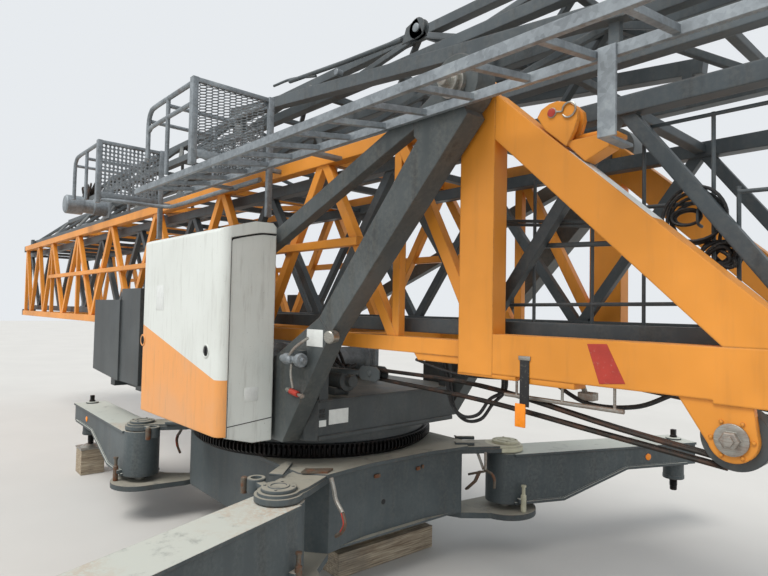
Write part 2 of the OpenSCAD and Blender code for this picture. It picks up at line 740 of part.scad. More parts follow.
module tower_deck(z) color(yellow) {
  y = tower_y - chord;
  for (x = top_nodes) translate([x - 30, -y, z - 25]) cube([60, 2 * y, 50]);
  for (i = [0:len(top_nodes) - 2]) let (s = i % 2 == 0 ? 1 : -1)
    bar([top_nodes[i], -s * (y - 30), z], [top_nodes[i + 1], s * (y - 30), z], 45, 45);
}

module tower_guides() color(grey) both_sides() {
  for (z = [tower_z0, inner_z1 + gap]) let (h = z == tower_z0 ? inner_z0 - gap - tower_z0 : 100 - gap) {
    translate([tower_x0 - chord / 2 - 60, -tower_y, z]) cube([60, 200, h]);
    translate([post_x + 40, -foot_y + post_t, z]) cube([100, foot_y - post_t - 400, h]);
  }
}

module foot_portal() color(yellow) difference() {
  union() both_sides() {
    translate([post_x, -foot_y, foot_z - 10]) cube([post_l, post_t, tower_z1 - foot_z + 10]);
    cross_rod(hinge_x, hinge_z, -foot_y, -foot_y + post_t, hinge_x - post_x - 2);
  }
  cross_rod(hinge_x, hinge_z, -foot_y - 1, foot_y + 1, hinge_pin_r + pin_gap);
}

module foot_beams() color(yellow) {
  both_sides() {
    translate([post_x + post_l, -foot_y, foot_z]) cube([foot_end - post_x - post_l, post_t, foot_h]);
    translate([box_x, -foot_y, foot_z - box_drop]) cube([foot_end - box_x, post_t, foot_h + box_drop]);
    difference() {
      union() {
        upright(-foot_y + 8, -foot_y + 36, [[sheave_x - 2.2 * lug_r, foot_z],
          [sheave_x - 0.94 * lug_r, sheave_z - 0.34 * lug_r], [sheave_x, sheave_z],
          [sheave_x + lug_r, sheave_z], [sheave_x + 0.8 * lug_r, foot_z]]);
        cross_rod(sheave_x, sheave_z, -foot_y + 8, -foot_y + 36, lug_r);
      }
      cross_rod(sheave_x, sheave_z, -foot_y, -foot_y + 60, 28 + pin_gap);
    }
  }
}

module foot_diagonals() color(yellow) {
  both_sides() upright(-foot_y, -foot_y + post_t, [[post_x + post_l, diagonal_z - diagonal_w],
    [diagonal_x, foot_z + foot_h], [foot_end, foot_z + foot_h], [post_x + post_l, diagonal_z]]);
  upright(-foot_y + 1, -foot_y + 90, [[hanger_x - 210, hanger_z - 40], [hanger_x - 60, hanger_z - 170],
    [hanger_x + 40, hanger_z - 30], [hanger_x + 90, hanger_z - 30], [hanger_x + 90, hanger_z],
    [hanger_x - 100, hanger_z], [hanger_x - 210, hanger_z + 30]]);
}

module erection_sheaves() color(grey) both_sides() {
  cross_rod(sheave_x, sheave_z, -foot_y + 36 + gap, -foot_y + 110, sheave_r);
  cross_rod(sheave_x, sheave_z, -foot_y, -foot_y + 36 + gap, 28);
}

module ladder() color(zinc) {
  translate([ladder_x0, -ladder_y, ladder_z - rail_h / 2]) cube([ladder_x1 - ladder_x0, rail_t, rail_h]);
  translate([ladder_x0, ladder_w - ladder_y, ladder_z + ladder_rise - rail_h / 2])
    cube([ladder_x1 - ladder_x0, rail_t, rail_h]);
  for (i = [0:floor((ladder_x1 - ladder_x0 - 200) / rung_pitch)]) let (x = ladder_x1 - 90 - i * rung_pitch)
    bar([x, rail_t / 2 - ladder_y, ladder_z],
      [x, rail_t / 2 + ladder_w - ladder_y, ladder_z + ladder_rise], rung_w, rung_w);
  for (x = ladder_brackets) translate([x, ladder_w - ladder_y + rail_t - 1, ladder_z + ladder_rise - 15])
    cube([60, ladder_y - ladder_w - rail_t + 1 - tower_y, 20]);
}

module ladder_hanger() color(zinc) {
  translate([hanger_x, ladder_w - ladder_y - hanger_t, hanger_z])
    cube([hanger_w, hanger_t, ladder_z + ladder_rise + 18 - hanger_z]);
  translate([hanger_x, ladder_w - ladder_y - 2, hanger_z])
    cube([40, ladder_y - ladder_w + 3 - foot_y, hanger_t]);
}

module service_platforms() color(zinc) for (x = platform_places) {
  top = ladder_z + ladder_rise + rail_h / 2 + gap + panel_h;
  outer = guard_r - panel_y;
  translate([x - panel_t, -panel_y, top - panel_h]) cube([panel_t, panel_y - panel_inner, panel_h]);
  translate([x - panel_t, -panel_inner - 2, hanger_z]) cube([30, 40, top + 8 - hanger_z]);
  translate([x - panel_t, -panel_inner + 30, tower_z1 - 60]) cube([30, panel_inner - 30 - tower_y, 30]);
  for (y = [outer, -panel_inner - 30]) translate([x - panel_t / 2, y, top - 40]) rotate([0, -90, 0])
    cylinder(r = guard_r, h = guard_l, $fn = 12);
  for (dx = [guard_l / 2, guard_l]) translate([x + 8 - dx, outer, 0]) {
    translate([0, 0, top - panel_h + 20]) cylinder(r = guard_post_r, h = panel_h - 60, $fn = 12);
    translate([0, 0, top - 40]) rotate([-90, 0, 0])
      cylinder(r = guard_post_r, h = panel_y - guard_r - 30 - panel_inner, $fn = 12);
  }
}

module inner_side() color(grey) {
  y0 = -inner_y + 15;
  zl = inner_z0 + inner_chord / 2;
  zt = inner_z1 - inner_chord / 2;
  for (z = [inner_z0, inner_z1 - inner_chord]) translate([inner_x0, -inner_y, z])
    cube([inner_x1 - inner_x0, inner_chord, inner_chord]);
  strip([inner_x1 - 40, zt], [inner_node, zl], inner_brace, y0, y0 + 45);
  for (i = [0:inner_bays - 1]) strip([inner_node - i * inner_half_bay, i % 2 == 0 ? zl : zt],
    [inner_node - (i + 1) * inner_half_bay, i % 2 == 0 ? zt : zl], inner_brace, y0, y0 + 45);
  for (x = [inner_x0 + 40, inner_x1 - 40]) strip([x, zl], [x, zt], inner_brace - 4, y0 + 3, y0 + 42);
}

module inner_tower_bracing() color(grey) {
  y = inner_y - inner_chord;
  for (z = [inner_z0 + inner_chord / 2, inner_z1 - inner_chord / 2]) {
    for (i = [0:inner_bays])
      translate([inner_node - 25 - i * inner_half_bay, -y, z - 20]) cube([50, 2 * y, 40]);
    translate([inner_x1 - 85, -y, z - 20]) cube([50, 2 * y, 40]);
  }
}

module jib_bearings() color(grey) both_sides() difference() {
  upright(-jib_y - 40, -jib_y, [[inner_x0, inner_z1], [inner_x0 + 240, inner_z1],
    [jib_pivot_x + 50, jib_z0 + 50], [jib_pivot_x - 50, jib_z0 + 50]]);
  cross_rod(jib_pivot_x, jib_z0, -jib_y - 41, -jib_y + 1, 25);
}

// Three-chord lattice from x0 to x1: pair of chords at z, single chord at z + h.
module truss(x0, x1, y, z, h, single0, single1) {
  n = floor((x1 - x0) / jib_half_bay);
  step = (x1 - x0) / n;
  for (s = [-1, 1]) bar([x0, s * y, z], [x1, s * y, z], jib_chord, jib_chord);
  bar([single0, 0, z + h], [single1, 0, z + h], jib_chord, jib_chord);
  for (i = [0:n - 1], s = [-1, 1]) let (a = x0 + i * step, b = a + step)
    bar([i % 2 == 0 ? a : b, s * y, z], [i % 2 == 0 ? b : a, 0, z + h], 35, 35);
  for (i = [0:n - 1]) bar([x0 + i * step, -y, z], [x0 + i * step, y, z], 35, 35);
}

module jib_root_section() color(grey) {
  truss(jib_pivot_x - 40, fold_x - 5, jib_y - jib_chord / 2 - 8, jib_z0, jib_h1,
    jib_pivot_x + 40 + jib_half_bay, fold_x - 5);
  cross_rod(jib_pivot_x, jib_z0, -jib_y - 40, jib_y + 40, 25 - pin_gap);
  translate([fold_x - 120, -90, jib_z0 + jib_h1 - 30]) cube([60, 180, 60]);
  for (y = [-90, 60]) difference() {
    upright(y, y + 30, [[fold_x - 120, jib_z0 + jib_h1 - 30], [fold_x - 20, jib_z0 + jib_h1 - 30],
      [fold_x + 50, fold_z - 30], [fold_x + 50, fold_z + 50], [fold_x - 50, fold_z + 50],
      [fold_x - 120, jib_z0 + jib_h1 + 30]]);
    cross_rod(fold_x, fold_z, y - 1, y + 31, 30 + pin_gap);
  }
}

module jib_outer_section() color(grey) {
  truss(jib_tip_x, fold_x - 5, jib_y - 130, fold_z, jib_h2, jib_tip_x + jib_half_bay, fold_x - 5);
  cross_rod(fold_x, fold_z, -jib_y + 130, jib_y - 130, 30);
}

module trolley_winch() color(zinc) {
  winch_x = jib_pivot_x - 40 + 5 * jib_step;
  floor_z = jib_z0 + jib_chord / 2;
  translate([winch_x - 130, -jib_y + 8, floor_z]) cube([260, 2 * jib_y - 16, 12]);
  cross_rod(winch_x, floor_z + 120, -110, 110, 85);
  for (y = [-125, 110]) translate([winch_x - 60, y, floor_z]) cube([120, 15, 150]);
}

function strut_top(x) = strut_z - (x - strut_x1) * 0.1075;

// Bars beside the folded jib and the posts that carry them.
module jib_struts() color(grey) both_sides() {
  z0 = jib_z0 + jib_chord / 2;
  strip([strut_x0, strut_top(strut_x0)], [strut_x1, strut_top(strut_x1)], 80, -jib_y - 30, -jib_y + 40);
  for (x = [strut_x0 + 100, strut_x1 - 100])
    translate([x, -jib_y + 10, z0]) cube([50, 30, strut_top(x) - z0 - 20]);
}

// Drums on the platform between the A-frame's legs.
module hoist_winches() color(grey) for (x = winch_places) {
  drum_l = 2 * cheek_y;
  for (y = [-cheek_y - cheek_t, cheek_y]) translate([x - cheek_l / 2, y, platform_z + platform_h])
    cube([cheek_l, cheek_t, cheek_h]);
  cross_rod(x, winch_z, -cheek_y - 1, cheek_y + 1, drum_r);
  for (y = [1 - cheek_y, cheek_y - 1 - flange_t]) cross_rod(x, winch_z, y, y + flange_t, flange_r);
}

module erection_ropes() color([0.1, 0.1, 0.1]) both_sides() let (y = rope_y)
  bar([platform_front + gap, y, rope_z], [sheave_x, y, sheave_z - sheave_r - rope_w / 2 - gap],
    rope_w, rope_w);

undercarriage_frame();
outrigger_pins();
slewing_ring_gear();
timbers();
foot_blocks();
foot_pads();
outrigger(1, -1, front_right_turn);  // outrigger_front_right
outrigger(1, 1, front_left_turn);  // outrigger_front_left
outrigger(-1, -1, rear_right_turn);  // outrigger_rear_right
outrigger(-1, 1, rear_left_turn);  // outrigger_rear_left
spindle(1, -1, front_right_turn);  // spindle_front_right
spindle(1, 1, front_left_turn);  // spindle_front_left
spindle(-1, -1, rear_right_turn);  // spindle_rear_right
spindle(-1, 1, rear_left_turn);  // spindle_rear_left
platform_frame();
slewing_race();
rear_side_boxes();
a_frame_legs();
rear_struts();
tower_hinge_pins();
cabinet_housing();
cabinet_hood();
tower_side();  // tower_side_right
mirror([0, 1, 0]) tower_side();  // tower_side_left
tower_deck(tower_z1 - 40);  // tower_top_bracing
tower_deck(tower_z0 + 40);  // tower_bottom_bracing
tower_guides();
foot_portal();
foot_beams();
foot_diagonals();
erection_sheaves();
ladder();
ladder_hanger();
service_platforms();
inner_side();  // inner_tower_side_right
mirror([0, 1, 0]) inner_side();  // inner_tower_side_left
inner_tower_bracing();
jib_bearings();
jib_root_section();
jib_outer_section();
jib_struts();
trolley_winch();
hoist_winches();
erection_ropes();
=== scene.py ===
import json
import math

import bmesh
import bpy
from mathutils import Matrix, Vector


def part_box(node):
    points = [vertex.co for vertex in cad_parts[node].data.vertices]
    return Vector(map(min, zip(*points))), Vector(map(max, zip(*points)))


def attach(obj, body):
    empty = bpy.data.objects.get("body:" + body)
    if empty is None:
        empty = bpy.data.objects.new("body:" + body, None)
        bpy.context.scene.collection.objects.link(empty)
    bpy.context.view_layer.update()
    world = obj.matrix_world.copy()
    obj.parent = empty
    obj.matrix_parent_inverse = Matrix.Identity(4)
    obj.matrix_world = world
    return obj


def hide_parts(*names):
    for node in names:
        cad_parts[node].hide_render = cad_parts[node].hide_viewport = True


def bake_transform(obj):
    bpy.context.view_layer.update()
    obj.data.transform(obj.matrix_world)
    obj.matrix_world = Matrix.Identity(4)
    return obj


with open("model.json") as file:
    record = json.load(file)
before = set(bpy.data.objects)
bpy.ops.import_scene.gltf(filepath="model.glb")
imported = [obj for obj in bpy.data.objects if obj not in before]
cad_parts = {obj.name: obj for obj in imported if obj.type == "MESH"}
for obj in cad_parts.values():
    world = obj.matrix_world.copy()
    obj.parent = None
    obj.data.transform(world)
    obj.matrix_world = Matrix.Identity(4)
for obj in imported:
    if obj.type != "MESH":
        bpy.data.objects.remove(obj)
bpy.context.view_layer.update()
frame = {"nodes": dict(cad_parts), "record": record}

nodes = frame["nodes"]
print("stage: frame loaded,", len(nodes), "nodes")

view = {
    "place": (3.815, -2.73, 1.75),
    "right": (0.6710, 0.7412, 0.0197),
    "up": (0.0141, -0.0393, 0.9991),
    "lens": 27.19,
    "sensor": 36.0,
}
studio = {
    "floorColour": (0.60, 0.585, 0.555),
    "backdrop": (0.80, 0.83, 0.86),
    "skyColour": (0.90, 0.95, 1.0),
    "skyStrength": 0.80,
    "sunStrength": 2.2,
    "sunAngle": 32.0,
    "sunFrom": (0.02, -0.75, 1.2),
    "sunColour": (1.0, 0.975, 0.94),
}


def placeCamera(settings):
    data = bpy.data.cameras.new("photoCamera")
    data.lens, data.sensor_width, data.sensor_fit = settings["lens"], settings["sensor"], "HORIZONTAL"
    data.clip_start, data.clip_end = 0.05, 200
    camera = bpy.data.objects.new("photoCamera", data)
    right, up = Vector(settings["right"]).normalized(), Vector(settings["up"])
    up = (up - right * up.dot(right)).normalized()
    back = right.cross(up)
    turn = Matrix((right, up, back)).transposed().to_4x4()
    camera.matrix_world = Matrix.Translation(settings["place"]) @ turn
    bpy.context.scene.collection.objects.link(camera)
    bpy.context.scene.camera = camera


placeCamera(view)


class Wire:                                     # one output socket, usable in plain arithmetic
    def __init__(self, graph, socket):
        self.graph, self.socket = graph, socket

    def maths(self, operation, *values, **settings):
        settings["operation"] = operation
        return self.graph.node("ShaderNodeMath", settings, dict(enumerate(values)))

    def __add__(self, other): return self.maths("ADD", self, other)
    def __radd__(self, other): return self.maths("ADD", other, self)
    def __sub__(self, other): return self.maths("SUBTRACT", self, other)
    def __rsub__(self, other): return self.maths("SUBTRACT", other, self)
    def __mul__(self, other): return self.maths("MULTIPLY", self, other)
    def __rmul__(self, other): return self.maths("MULTIPLY", other, self)
    def __truediv__(self, other): return self.maths("DIVIDE", self, other)
    def __rtruediv__(self, other): return self.maths("DIVIDE", other, self)
    def __pow__(self, other): return self.maths("POWER", self, other)
    def over(self, other): return self.maths("GREATER_THAN", self, other)
    def most(self, other): return self.maths("MAXIMUM", self, other)
    def least(self, other): return self.maths("MINIMUM", self, other)
    def size(self): return self.maths("ABSOLUTE", self)
    def clamped(self): return self.maths("ADD", self, 0.0, use_clamp=True)

    def step(self, low, high):                  # 0 below low, 1 above high, smooth between
        values = {0: self, 1: low, 2: high, 3: 0.0, 4: 1.0}
        return self.graph.node("ShaderNodeMapRange", {"interpolation_type": "SMOOTHSTEP"}, values)

    def out(self, name):                        # another output of the same node
        return Wire(self.graph, self.socket.node.outputs[name])


class Graph:                                    # a node tree of a material or of Geometry Nodes
    def __init__(self, tree):
        self.tree = tree

    def node(self, kind, settings=None, values=None, out=0):
        made = self.tree.nodes.new(kind)
        for key, value in (settings or {}).items():
            if key == "stops":
                ramp = made.color_ramp.elements
                while len(ramp) < len(value):
                    ramp.new(0.5)
                for stop, (place, colour) in zip(ramp, value):
                    stop.position, stop.color = place, (*colour, 1.0)
            else:
                setattr(made, key, value)
        for key, value in (values or {}).items():
            socket = made.inputs[key]
            if isinstance(value, Wire):
                self.tree.links.new(value.socket, socket)
            elif socket.type == "RGBA" and len(value) == 3:
                socket.default_value = (*value, 1.0)
            else:
                socket.default_value = value
        return Wire(self, made.outputs[out]) if made.outputs else made

    def mix(self, factor, a, b, way="MIX"):
        settings = {"data_type": "RGBA", "blend_type": way, "clamp_factor": True}
        return self.node("ShaderNodeMix", settings, {0: factor, 6: a, 7: b}, 2)

    def noise(self, where, scale, detail=3.0, rough=0.55, warp=0.0):
        values = {"Vector": where, "Scale": scale, "Detail": detail, "Roughness": rough, "Distortion": warp}
        return self.node("ShaderNodeTexNoise", {}, values)

    def stretched(self, where, scale, move=(0, 0, 0), turn=(0, 0, 0)):
        return self.node("ShaderNodeMapping", {}, {"Vector": where, "Location": move, "Rotation": turn,
                                                   "Scale": scale})

    def parts(self, vector):
        split = self.node("ShaderNodeSeparateXYZ", {}, {0: vector})
        return split, split.out("Y"), split.out("Z")

    def bump(self, strength, distance, height, normal):
        values = {"Strength": strength, "Distance": distance, "Height": height, "Normal": normal}
        return self.node("ShaderNodeBump", {}, values)


def linear(red, green, blue):                   # a colour given from 0 to 255
    def one(value):
        value /= 255
        return value / 12.92 if value <= 0.04045 else ((value + 0.055) / 1.055) ** 2.4
    return one(red), one(green), one(blue)


def newFinish(name):
    material = bpy.data.materials.new(name)
    material.use_nodes = True
    material.node_tree.nodes.clear()
    graph = Graph(material.node_tree)
    place = graph.node("ShaderNodeTexCoord", {}, {}, "Object")
    return material, graph, place


def close(material, graph, values):
    shader = graph.node("ShaderNodeBsdfPrincipled", {}, values)
    graph.node("ShaderNodeOutputMaterial", {}, {"Surface": shader})
    return material


paints = {
    "undercarriagePaint": {
        "colour": linear(72, 81, 84), "dust": 0.70, "chips": 0.5, "rough": 0.50, "film": 0.07, "streaks": 0.26,
        "dustEdge": (0.15, 0.5), "patch": (1.163, 0.930, 0.150, 0.7165, linear(190, 188, 164))},
    "armPaint": {
        "colour": linear(72, 81, 84), "dust": 0.92, "chips": 0.5, "rough": 0.48, "film": 0.07, "streaks": 0.26,
        "dustEdge": (0.12, 0.45), "dustColour": linear(196, 199, 190), "stain": 0.45},
    "platformPaint": {
        "colour": linear(60, 66, 68), "dust": 0.35, "chips": 0.35, "rough": 0.46, "film": 0.05,
        "streaks": 0.25},
    "frameLegPaint": {"colour": linear(78, 84, 85), "dust": 0.30, "chips": 0.35, "rough": 0.46},
    "towerYellow": {
        "colour": linear(228, 146, 46), "dust": 0.16, "chips": 0.45, "rough": 0.42, "film": 0.02,
        "streaks": 0.12, "deep": 0.86},
    "innerTowerPaint": {"colour": linear(66, 75, 80), "dust": 0.20, "chips": 0.2, "rough": 0.45},
    "jibPaint": {"colour": linear(80, 88, 92), "dust": 0.25, "chips": 0.25, "rough": 0.48},
}
dirt = {
    "dustColour": linear(176, 170, 154),
    "stainColour": linear(176, 132, 92),
    "grime": linear(46, 40, 34),
    "rust": linear(112, 66, 38),
    "bareSteel": linear(120, 118, 112),
    "zincBloom": linear(186, 190, 188),
    "edgeRadius": 0.010,
}

def roundedNormal(graph, radius):               # the CAD's sharp edges catch light as rolled ones do
    return graph.node("ShaderNodeBevel", {"samples": 4}, {"Radius": radius})


def edgeMask(graph, rounded, low, high):
    plain = graph.node("ShaderNodeNewGeometry", {}, {}, "Normal")
    dot = graph.node("ShaderNodeVectorMath", {"operation": "DOT_PRODUCT"}, {0: rounded, 1: plain}, "Value")
    return (1 - dot).step(low, high)


def wornPaint(name, look):
    material, graph, place = newFinish(name)
    up = graph.parts(place.out("Normal"))[2]
    broad = graph.noise(place, 1.1, 4.0, 0.6)
    fine = graph.noise(place, 46.0, 4.0, 0.7)
    rain = graph.noise(graph.stretched(place, (5.0, 5.0, 0.55)), 2.2, 4.0, 0.65)
    blotch = graph.noise(place, 7.5, 5.0, 0.7)
    rounded = roundedNormal(graph, dirt["edgeRadius"])
    edge = edgeMask(graph, rounded, 0.03, 0.28)
    deep = tuple(channel * look.get("deep", 0.66) for channel in look["colour"])
    pale = tuple(min(1.0, channel * 1.12 + 0.012) for channel in look["colour"])
    colour = graph.mix(broad.step(0.32, 0.70), deep, pale)
    if "patch" in look:                         # one round patch in another colour, from a level upwards
        px, py, radius, level, other = look["patch"]
        x, y, z = graph.parts(place)
        far = ((x - px) * (x - px) + (y - py) * (y - py)) ** 0.5
        patch = (1 - far.step(radius - 0.003, radius + 0.003)) * z.over(level)
        colour = graph.mix(patch, colour, other)
    colour = graph.mix(rain.step(0.50, 0.74) * look.get("streaks", 0.42), colour, dirt["grime"])
    dust = up.step(0.55, 0.95) * blotch.step(*look.get("dustEdge", (0.28, 0.62))) * look["dust"]
    film = rain.step(0.30, 0.62) * fine.step(0.35, 0.65) * look.get("film", 0.30 * look["dust"])
    colour = graph.mix(dust.most(film), colour, look.get("dustColour", dirt["dustColour"]))
    if "stain" in look:                         # orange-brown stains in the dust
        colour = graph.mix(dust * broad.step(0.52, 0.62) * fine.step(0.35, 0.6) * look["stain"], colour,
                           dirt["stainColour"])
    chip = (edge * blotch.step(0.46, 0.56) * look["chips"]).most(
        fine.step(0.700, 0.735) * blotch.step(0.50, 0.60) * look["chips"])
    worn = graph.mix(broad.step(0.40, 0.60), dirt["rust"], dirt["bareSteel"])
    colour = graph.mix(chip, colour, worn)
    rough = look["rough"] + dust * 0.40 + fine * 0.14 - 0.05 + chip * 0.15
    height = fine * 0.35 + blotch * 0.65 - chip * 0.6
    bump = graph.bump(0.16, 0.0015, height, rounded)
    return close(material, graph, {"Base Color": colour, "Roughness": rough.clamped(), "Metallic": 0.0,
                                   "Specular IOR Level": 0.45, "Normal": bump})


def zincFinish(name, colour, spangle):
    material, graph, place = newFinish(name)
    cells = graph.node("ShaderNodeTexVoronoi", {"feature": "F1"}, {"Vector": place, "Scale": spangle}, "Color")
    tone = graph.parts(cells)[0]
    fine = graph.noise(place, 90.0, 3.0)
    blotch = graph.noise(place, 5.0, 5.0, 0.7)
    rounded = roundedNormal(graph, 0.004)
    dark = tuple(channel * 0.70 for channel in colour)
    pale = tuple(min(1.0, channel * 1.30) for channel in colour)
    mixed = graph.mix(tone * 0.5 + blotch.step(0.35, 0.65) * 0.5, dark, pale)
    mixed = graph.mix(blotch.step(0.56, 0.74) * 0.45, mixed, dirt["zincBloom"])
    mixed = graph.mix(graph.noise(place, 2.3, 5.0, 0.75).step(0.60, 0.72) * 0.35, mixed, dirt["rust"])
    rough = 0.44 + tone * 0.14 + fine * 0.12
    bump = graph.bump(0.12, 0.001, fine, rounded)
    return close(material, graph, {"Base Color": mixed, "Roughness": rough, "Metallic": 0.62, "Normal": bump})


def steelFinish(name, colour, rust, rough, metal=0.85):
    material, graph, place = newFinish(name)
    fine = graph.noise(place, 60.0, 5.0, 0.7)
    blotch = graph.noise(place, 14.0, 5.0, 0.7)
    marks = graph.noise(graph.stretched(place, (4.0, 60.0, 60.0)), 4.0, 3.0)
    rounded = roundedNormal(graph, 0.003)
    rusty = (blotch.step(0.42, 0.66) * rust).most(fine.step(0.60, 0.75) * rust * 0.7)
    base = graph.mix(marks.step(0.3, 0.7), tuple(channel * 0.72 for channel in colour), colour)
    base = graph.mix(rusty, base, dirt["rust"])
    bump = graph.bump(0.22, 0.001, fine + rusty, rounded)
    rough = (rough + rusty * 0.35 + fine * 0.10).clamped()
    return close(material, graph, {"Base Color": base, "Roughness": rough,
                                   "Metallic": (metal - rusty * metal).clamped(), "Normal": bump})


def timberFinish(name):
    material, graph, place = newFinish(name)
    along = graph.stretched(place, (26.0, 1.6, 30.0))
    grain = graph.noise(along, 2.4, 6.0, 0.65, 0.35)
    ring = graph.node("ShaderNodeTexWave", {"wave_type": "BANDS", "bands_direction": "Z"},
                      {"Vector": graph.stretched(place, (10.0, 0.8, 14.0)), "Scale": 1.6, "Distortion": 5.0,
                       "Detail": 3.0, "Detail Scale": 1.4}, "Fac")
    fine = graph.noise(place, 70.0, 4.0, 0.7)
    blotch = graph.noise(place, 3.2, 4.0, 0.6)
    colour = graph.mix(grain.step(0.30, 0.70), linear(132, 114, 94), linear(200, 186, 162))
    colour = graph.mix(ring * 0.35, colour, linear(92, 76, 60))
    colour = graph.mix(blotch.step(0.45, 0.70) * 0.6, colour, linear(120, 114, 104))
    colour = graph.mix(fine.step(0.62, 0.72) * 0.5, colour, linear(60, 50, 42))
    rounded = roundedNormal(graph, 0.005)
    bump = graph.bump(0.55, 0.003, grain * 0.8 + ring * 0.3 + fine * 0.2, rounded)
    return close(material, graph, {"Base Color": colour, "Roughness": 0.78 + fine * 0.15, "Normal": bump})


cabinetLook = {
    "white": linear(222, 225, 219),
    "orange": linear(238, 160, 82),
    "slantStart": (-0.518, 1.615),              # the colours' border on the front, rear end
    "slantEnd": (0.659, 1.322),                 # and its front end
}


def cabinetFinish(name):
    material, graph, place = newFinish(name)
    x, y, z = graph.parts(place)
    (x0, z0), (x1, z1) = cabinetLook["slantStart"], cabinetLook["slantEnd"]
    line = ((x - x0) * ((z1 - z0) / (x1 - x0)) + z0).most(z1)
    front = 1 - y.over(-1.136)                  # only the hood wears the two colours
    white = (z - line).step(-0.0012, 0.0012).most(1 - front)
    broad = graph.noise(place, 1.6, 4.0, 0.6)
    fine = graph.noise(place, 75.0, 4.0, 0.7)
    rain = graph.noise(graph.stretched(place, (7.0, 7.0, 0.8)), 3.0, 5.0, 0.7)
    rounded = roundedNormal(graph, 0.012)
    colour = graph.mix(white, cabinetLook["orange"], cabinetLook["white"])
    colour = graph.mix(broad.step(0.35, 0.70) * 0.20, colour, linear(170, 170, 160))
    colour = graph.mix(rain.step(0.50, 0.72) * 0.22, colour, linear(120, 112, 98))
    colour = graph.mix(fine.step(0.66, 0.72) * 0.45, colour, linear(110, 96, 78))
    bump = graph.bump(0.10, 0.002, fine * 0.3 + broad * 0.7, rounded)
    return close(material, graph, {"Base Color": colour, "Roughness": 0.40 + rain * 0.16, "Coat Weight": 0.12,
                                   "Coat Roughness": 0.3, "Normal": bump})


def plainFinish(name, colour, rough=0.5, mottle=0.25, scale=22.0):
    material, graph, place = newFinish(name)
    blotch = graph.noise(place, scale, 5.0, 0.65)
    fine = graph.noise(place, scale * 6, 3.0)
    dark = tuple(channel * (1 - mottle) for channel in colour)
    mixed = graph.mix(blotch.step(0.30, 0.70), dark, colour)
    mixed = graph.mix(fine.step(0.58, 0.74) * mottle, mixed, dirt["dustColour"])
    bump = graph.bump(0.15, 0.001, blotch + fine, roundedNormal(graph, 0.003))
    return close(material, graph, {"Base Color": mixed, "Roughness": (rough + blotch * 0.15 - 0.05).clamped(),
                                   "Metallic": 0.0, "Normal": bump})


otherFinishes = {
    "galvanised": (zincFinish, linear(142, 148, 152), 55.0),
    "machinedSteel": (steelFinish, linear(176, 174, 166), 0.45, 0.34),
    "screwSteel": (steelFinish, linear(46, 46, 46), 0.15, 0.36),
    "greasedGear": (steelFinish, linear(30, 30, 31), 0.05, 0.34),
    "rustySteel": (steelFinish, linear(120, 112, 100), 0.95, 0.55, 0.6),
    "ropeSteel": (steelFinish, linear(52, 50, 47), 0.30, 0.42),
    "weatheredTimber": (timberFinish,),
    "cabinetSkin": (cabinetFinish,),
    # also worn by thin discs that are painted shade inside the frame's holes
    "blackRubber": (plainFinish, linear(34, 34, 35), 0.62),
    "amberLens": (plainFinish, linear(255, 146, 22), 0.22, 0.12, 60.0),
    "redPaint": (plainFinish, linear(184, 58, 44), 0.5, 0.22, 12.0),
    # also worn by a thin strip that is a painted highlight: the sky's reflection on the foot diagonal's top face
    "whitePlate": (plainFinish, linear(226, 228, 224), 0.42, 0.12),
    "creamPaint": (plainFinish, linear(196, 193, 168), 0.6, 0.30, 14.0),
}
finishes = {name: wornPaint(name, look) for name, look in paints.items()}
finishes.update({name: make(name, *values) for name, (make, *values) in otherFinishes.items()})
print("stage:", len(finishes), "finishes made")

finishOfSlot = {
    "undercarriage_paint": "undercarriagePaint", "arm_paint": "armPaint", "machined_steel": "machinedSteel",
    "screw_steel": "screwSteel", "greased_gear": "greasedGear", "weathered_timber": "weatheredTimber",
    "platform_paint": "platformPaint", "aframe_paint": "frameLegPaint", "cabinet_skin": "cabinetSkin",
    "tower_paint": "towerYellow", "galvanised": "galvanised", "inner_paint": "innerTowerPaint",
    "jib_paint": "jibPaint", "rope_steel": "ropeSteel",
}
slotOfFinish = {finish: slot for slot, finish in finishOfSlot.items()}
slotOfNode = {part["node"]: part["material_slot"] for part in frame["record"]["subparts"]}
for nodeName, thing in nodes.items():
    thing.data.materials.clear()
    thing.data.materials.append(finishes[finishOfSlot[slotOfNode[nodeName]]])


toFoot, inward, outward, skyward = (1, 0, 0), (0, 1, 0), (0, -1, 0), (0, 0, 1)


def axes(direction, hint=skyward):              # two directions square to the given one
    direction = Vector(direction).normalized()
    side = Vector(hint).cross(direction)
    if side.length < 1e-4:
        side = Vector(toFoot).cross(direction)
    side.normalize()
    return side, direction.cross(side)


def roundEdges(mesh, made, bevel):
    if bevel:
        edges = list({edge for face in made for edge in face.edges})
        bmesh.ops.bevel(mesh, geom=edges, offset=bevel, segments=2, profile=0.5, affect="EDGES")


def addBox(mesh, low, high, bevel=0.0):
    corners = [mesh.verts.new((x, y, z)) for x in (low[0], high[0]) for y in (low[1], high[1])
               for z in (low[2], high[2])]
    faces = [(0, 1, 3, 2), (4, 6, 7, 5), (0, 4, 5, 1), (2, 3, 7, 6), (0, 2, 6, 4), (1, 5, 7, 3)]
    roundEdges(mesh, [mesh.faces.new([corners[i] for i in face]) for face in faces], bevel)


def addBar(mesh, start, end, wide, deep, bevel=0.0, hint=inward):
    start, end = Vector(start), Vector(end)
    side, over = axes(end - start, hint)
    ring = [(-wide / 2, -deep / 2), (wide / 2, -deep / 2), (wide / 2, deep / 2), (-wide / 2, deep / 2)]
    first, last = [[mesh.verts.new(at + side * a + over * b) for a, b in ring] for at in (start, end)]
    made = [mesh.faces.new((first[i - 1], first[i], last[i], last[i - 1])) for i in range(4)]
    made += [mesh.faces.new(first[::-1]), mesh.faces.new(last)]
    roundEdges(mesh, made, bevel)


def ringOf(mesh, centre, side, over, radius, sides):
    return [mesh.verts.new(centre + (side * math.cos(a) + over * math.sin(a)) * radius)
            for a in (2 * math.pi * i / sides for i in range(sides))]


